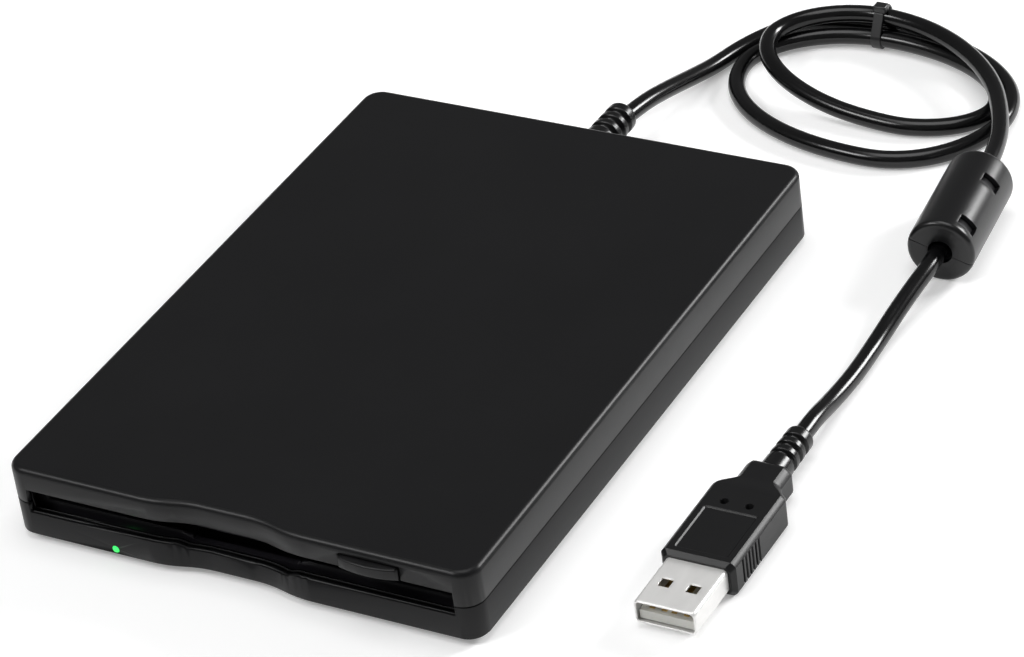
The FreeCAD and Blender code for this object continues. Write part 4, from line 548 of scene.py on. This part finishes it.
def plug_shell():
    """A rounded oblong tube, drawn in a little at its mouth; the windows are faces left out, and the
    sheet's thickness goes inwards."""
    rounding = 0.62
    wide, tall = SHELL_HALF_WIDTH - rounding, SHELL_HALF_HEIGHT - rounding
    stops = np.array((-wide, -4.05, -3.45, -2.85, -2.25, -1.65, -0.8, 0,
                      0.8, 1.65, 2.25, 2.85, 3.45, 4.05, wide))
    turn = np.linspace(0, np.pi / 2, 7)[1:-1]
    sides = np.linspace(-tall, tall, 4)
    x = np.concatenate((stops, wide + rounding * np.sin(turn), wide + rounding + 0 * sides,
                        wide + rounding * np.cos(turn), -stops, -wide - rounding * np.sin(turn),
                        -wide - rounding + 0 * sides, -wide - rounding * np.cos(turn)))
    z = np.concatenate((tall + rounding + 0 * stops, tall + rounding * np.cos(turn), -sides,
                        -tall - rounding * np.sin(turn), -tall - rounding + 0 * stops,
                        -tall - rounding * np.cos(turn), sides, tall + rounding * np.sin(turn)))
    y = np.concatenate((np.linspace(-41.2, SHELL_WINDOW_BACK, 9),
                        np.linspace(-48.2, SHELL_WINDOW_FRONT, 4),
                        np.linspace(-50.8, -54.85, 6), (-55.08, -55.2)))
    draw_in = np.zeros_like(y)
    draw_in[-2:] = (0.06, 0.2)
    points = np.empty((len(y), len(x), 3))
    points[..., 0] = PLUG_X + x - np.sign(x) * draw_in[:, None]
    points[..., 1] = y[:, None]
    points[..., 2] = PLUG_Z + z - np.sign(z) * draw_in[:, None]
    here_x = (x + np.roll(x, -1)) / 2
    flat = (np.abs(z) > tall + rounding - 1e-6) & (np.abs(np.roll(z, -1)) > tall + rounding - 1e-6)
    here_y = (y + np.roll(y, -1)) / 2
    in_window_x = np.abs(np.abs(here_x) - SHELL_WINDOW_X) < SHELL_WINDOW_HALF_WIDTH
    in_window_y = (here_y < SHELL_WINDOW_BACK) & (here_y > SHELL_WINDOW_FRONT)
    hole = (in_window_x & flat)[None, :] & in_window_y[:, None]
    return sheet_mesh("metal_shell", points * MM, 40, keep=~hole)


shell = plug_shell()
wall = shell.modifiers.new("sheet_thickness", "SOLIDIFY")
wall.thickness = 0.0003
wall.offset = -1
wall.use_even_offset = True
shell.modifiers.move(1, 0)
settle(shell, ["plug_shell"], shell_nickel)


# Light pipe

def dome(name, centre, way, radius, height, back):
    """A low cap of revolution on a short rod: out by radius times cos t, up by height times sin t."""
    rise = np.linspace(0, 1, 9)
    turn = np.linspace(0, 2 * np.pi, 41)[:-1]
    along = np.concatenate(([-back, -back], height * np.sin(rise * np.pi / 2)))
    out = np.concatenate(([0, radius], radius * np.cos(rise * np.pi / 2)))
    out[-1] = 0
    side = np.cross(way, (0.0, 0.0, 1.0))
    upward = np.cross(side, way)
    ring = np.cos(turn)[None, :, None] * side + np.sin(turn)[None, :, None] * upward
    points = np.array(centre) + along[:, None, None] * np.array(way) + out[:, None, None] * ring
    return sheet_mesh(name, points * MM, 60)


low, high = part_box("led_light_pipe")
settle(dome("lamp_dome", (-28.2, low.y / MM + 0.25, 2.75), np.array((0.0, -1.0, 0.0)), 0.8, 0.35,
            (high.y - low.y) / MM - 0.25), ["led_light_pipe"], lamp_green)


# Case shells and other shapes that the solids already have

for name, node, material in (
        ("case_top", "top_cover", case_black), ("case_base", "bottom_cover", case_black),
        ("button", "eject_button", button_black), ("bezel", "slot_bezel", bezel_black),
        ("door", "dust_door", bezel_black), ("feet", "rubber_feet", foot_rubber)):
    settle(joined(name, node), [node], material)


# Ferrite

FERRITE_MIDDLE, FERRITE_TURN = np.array((82.4, 79.4, 7.1)), math.radians(5.8)
FERRITE_RADIUS, FERRITE_HALF_LENGTH, FERRITE_ROUNDING = 7.1, 14, 1.1
WINDOW_ANGLE, WINDOW_HALF_ARC, WINDOW_HALF_LENGTH = 46, 17.7, 1.6


def ferrite_half(name, first, last, windows):
    """Part of a turned shell: the profile's radius carried from the first to the last angle, less the
    window faces. The angles crowd together across the windows."""
    along_way = np.array((-math.sin(FERRITE_TURN), math.cos(FERRITE_TURN), 0.0))
    side_way = np.array((math.cos(FERRITE_TURN), math.sin(FERRITE_TURN), 0.0))
    window_start, window_end = WINDOW_ANGLE - WINDOW_HALF_ARC, WINDOW_ANGLE + WINDOW_HALF_ARC
    marks = np.linspace(first, last, 46)
    if windows:
        marks = np.concatenate((np.linspace(first, window_start, 23),
                                np.linspace(window_start, window_end, 11)[1:],
                                np.linspace(window_end, last, 13)[1:]))
    angle = np.radians(marks)
    nose = np.linspace(0, np.pi / 2, 7)[1:-1]
    flat = np.concatenate([[-12.9], np.linspace(-11.8, -8.6, 6), np.linspace(-7.0, 3.0, 7),
                           np.linspace(3.9, 7.1, 6), np.linspace(8.5, 12.9, 4)])
    along = np.concatenate(([-FERRITE_HALF_LENGTH] * 3, -12.9 - FERRITE_ROUNDING * np.cos(nose), flat,
                            12.9 + FERRITE_ROUNDING * np.cos(nose)[::-1], [FERRITE_HALF_LENGTH] * 3))
    rim = 6.0 + FERRITE_ROUNDING * np.sin(nose)
    radius = np.concatenate(([2.6, 4.4, 5.9], rim, np.full(len(flat), FERRITE_RADIUS), rim[::-1],
                             [5.9, 4.4, 2.6]))
    ring = (np.sin(angle)[None, :, None] * side_way
            + np.cos(angle)[None, :, None] * np.array((0, 0, 1.0)))
    points = FERRITE_MIDDLE + along[:, None, None] * along_way + radius[:, None, None] * ring
    here_along = (along + np.roll(along, -1)) / 2
    here_mark = (marks + np.roll(marks, -1)) / 2
    hole = np.zeros((len(along), len(marks)), bool)
    for spot in windows:
        hole |= ((np.abs(here_along - spot) < WINDOW_HALF_LENGTH)[:, None]
                 & (np.abs(here_mark - WINDOW_ANGLE) < WINDOW_HALF_ARC)[None, :])
    thing = sheet_mesh(name, points * MM, 40, close_columns=False, keep=~hole)
    wall = thing.modifiers.new("wall_thickness", "SOLIDIFY")
    wall.thickness = 0.0012
    wall.offset = -1
    soft = thing.modifiers.new("soft_edges", "BEVEL")
    soft.width = 0.00028
    soft.segments = 2
    soft.limit_method = "ANGLE"
    soft.angle_limit = math.radians(50)
    thing.modifiers.move(1, 0)
    thing.modifiers.move(2, 1)
    return thing


ferrite_top = settle(ferrite_half("ferrite_top", -69.4, 109.4, (-10.2, 5.5)),
                     ["ferrite_case_upper"], ferrite_black)
ferrite_base = settle(ferrite_half("ferrite_base", 110.6, 289.4, ()),
                      ["ferrite_case_lower"], ferrite_black)

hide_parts("cord_coil", "cord_drive_run", "cord_plug_run")
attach(cord, "drive")


# Floor, light and air

def white_where_seen(material, strength):
    """Adds plain light to what the camera, glossy and transmitted rays see, and none to the object."""
    tree = material.node_tree
    shader = tree.nodes["Principled BSDF"]
    rays = tree.nodes.new("ShaderNodeLightPath")
    seen = tree.nodes.new("ShaderNodeMath")
    seen.operation = "MAXIMUM"
    seen_through = tree.nodes.new("ShaderNodeMath")
    seen_through.operation = "MAXIMUM"
    amount = tree.nodes.new("ShaderNodeMath")
    amount.operation = "MULTIPLY"
    amount.inputs[1].default_value = strength
    tree.links.new(rays.outputs["Is Camera Ray"], seen.inputs[0])
    tree.links.new(rays.outputs["Is Glossy Ray"], seen.inputs[1])
    tree.links.new(seen.outputs[0], seen_through.inputs[0])
    tree.links.new(rays.outputs["Is Transmission Ray"], seen_through.inputs[1])
    tree.links.new(seen_through.outputs[0], amount.inputs[0])
    tree.links.new(amount.outputs[0], shader.inputs["Emission Strength"])
    shader.inputs["Emission Color"].default_value = (1, 1, 1, 1)


FLOOR_REACH, FLOOR_GLOW = 6, 0.25
floor_mesh = bpy.data.meshes.new("studio_floor")
floor_mesh.from_pydata([(-FLOOR_REACH, -FLOOR_REACH, 0), (FLOOR_REACH, -FLOOR_REACH, 0),
                        (FLOOR_REACH, FLOOR_REACH, 0), (-FLOOR_REACH, FLOOR_REACH, 0)],
                       [], [(0, 1, 2, 3)])
floor = bpy.data.objects.new("studio_floor", floor_mesh)
scene.collection.objects.link(floor)
floor_white = finish("floor_white", (0.9, 0.9, 0.9), 0.9, specular=0.0, shift=0.0)
white_where_seen(floor_white, FLOOR_GLOW)
dress(floor, floor_white)


def softbox(name, spot, aim, wide, tall, power):
    """A rectangular lamp at a spot, turned to face its aim."""
    light = bpy.data.lights.new(name, "AREA")
    light.shape = "RECTANGLE"
    light.size = wide
    light.size_y = tall
    light.energy = power
    lamp_object = bpy.data.objects.new(name, light)
    lamp_object.location = spot
    lamp_object.rotation_euler = (Vector(aim) - Vector(spot)).to_track_quat("-Z", "Y").to_euler()
    scene.collection.objects.link(lamp_object)
    return lamp_object


MIDDLE = Vector((0.03, 0.04, 0.01))
AIR_STRENGTH = 0.16
softbox("overhead", (0.05, -0.05, 1.3), MIDDLE, 0.9, 0.9, 7.5)
softbox("back_right", MIDDLE + Vector((0.58, 0.69, 0.44)), MIDDLE, 0.32, 0.32, 9.0)
softbox("front_left", MIDDLE + Vector((-0.495, -0.616, 0.77)), MIDDLE, 0.35, 0.25, 4.0)

air = bpy.data.worlds.new("studio_air")
scene.world = air
air.use_nodes = True
background = air.node_tree.nodes["Background"]
background.inputs["Color"].default_value = (1, 1, 1, 1)
background.inputs["Strength"].default_value = AIR_STRENGTH
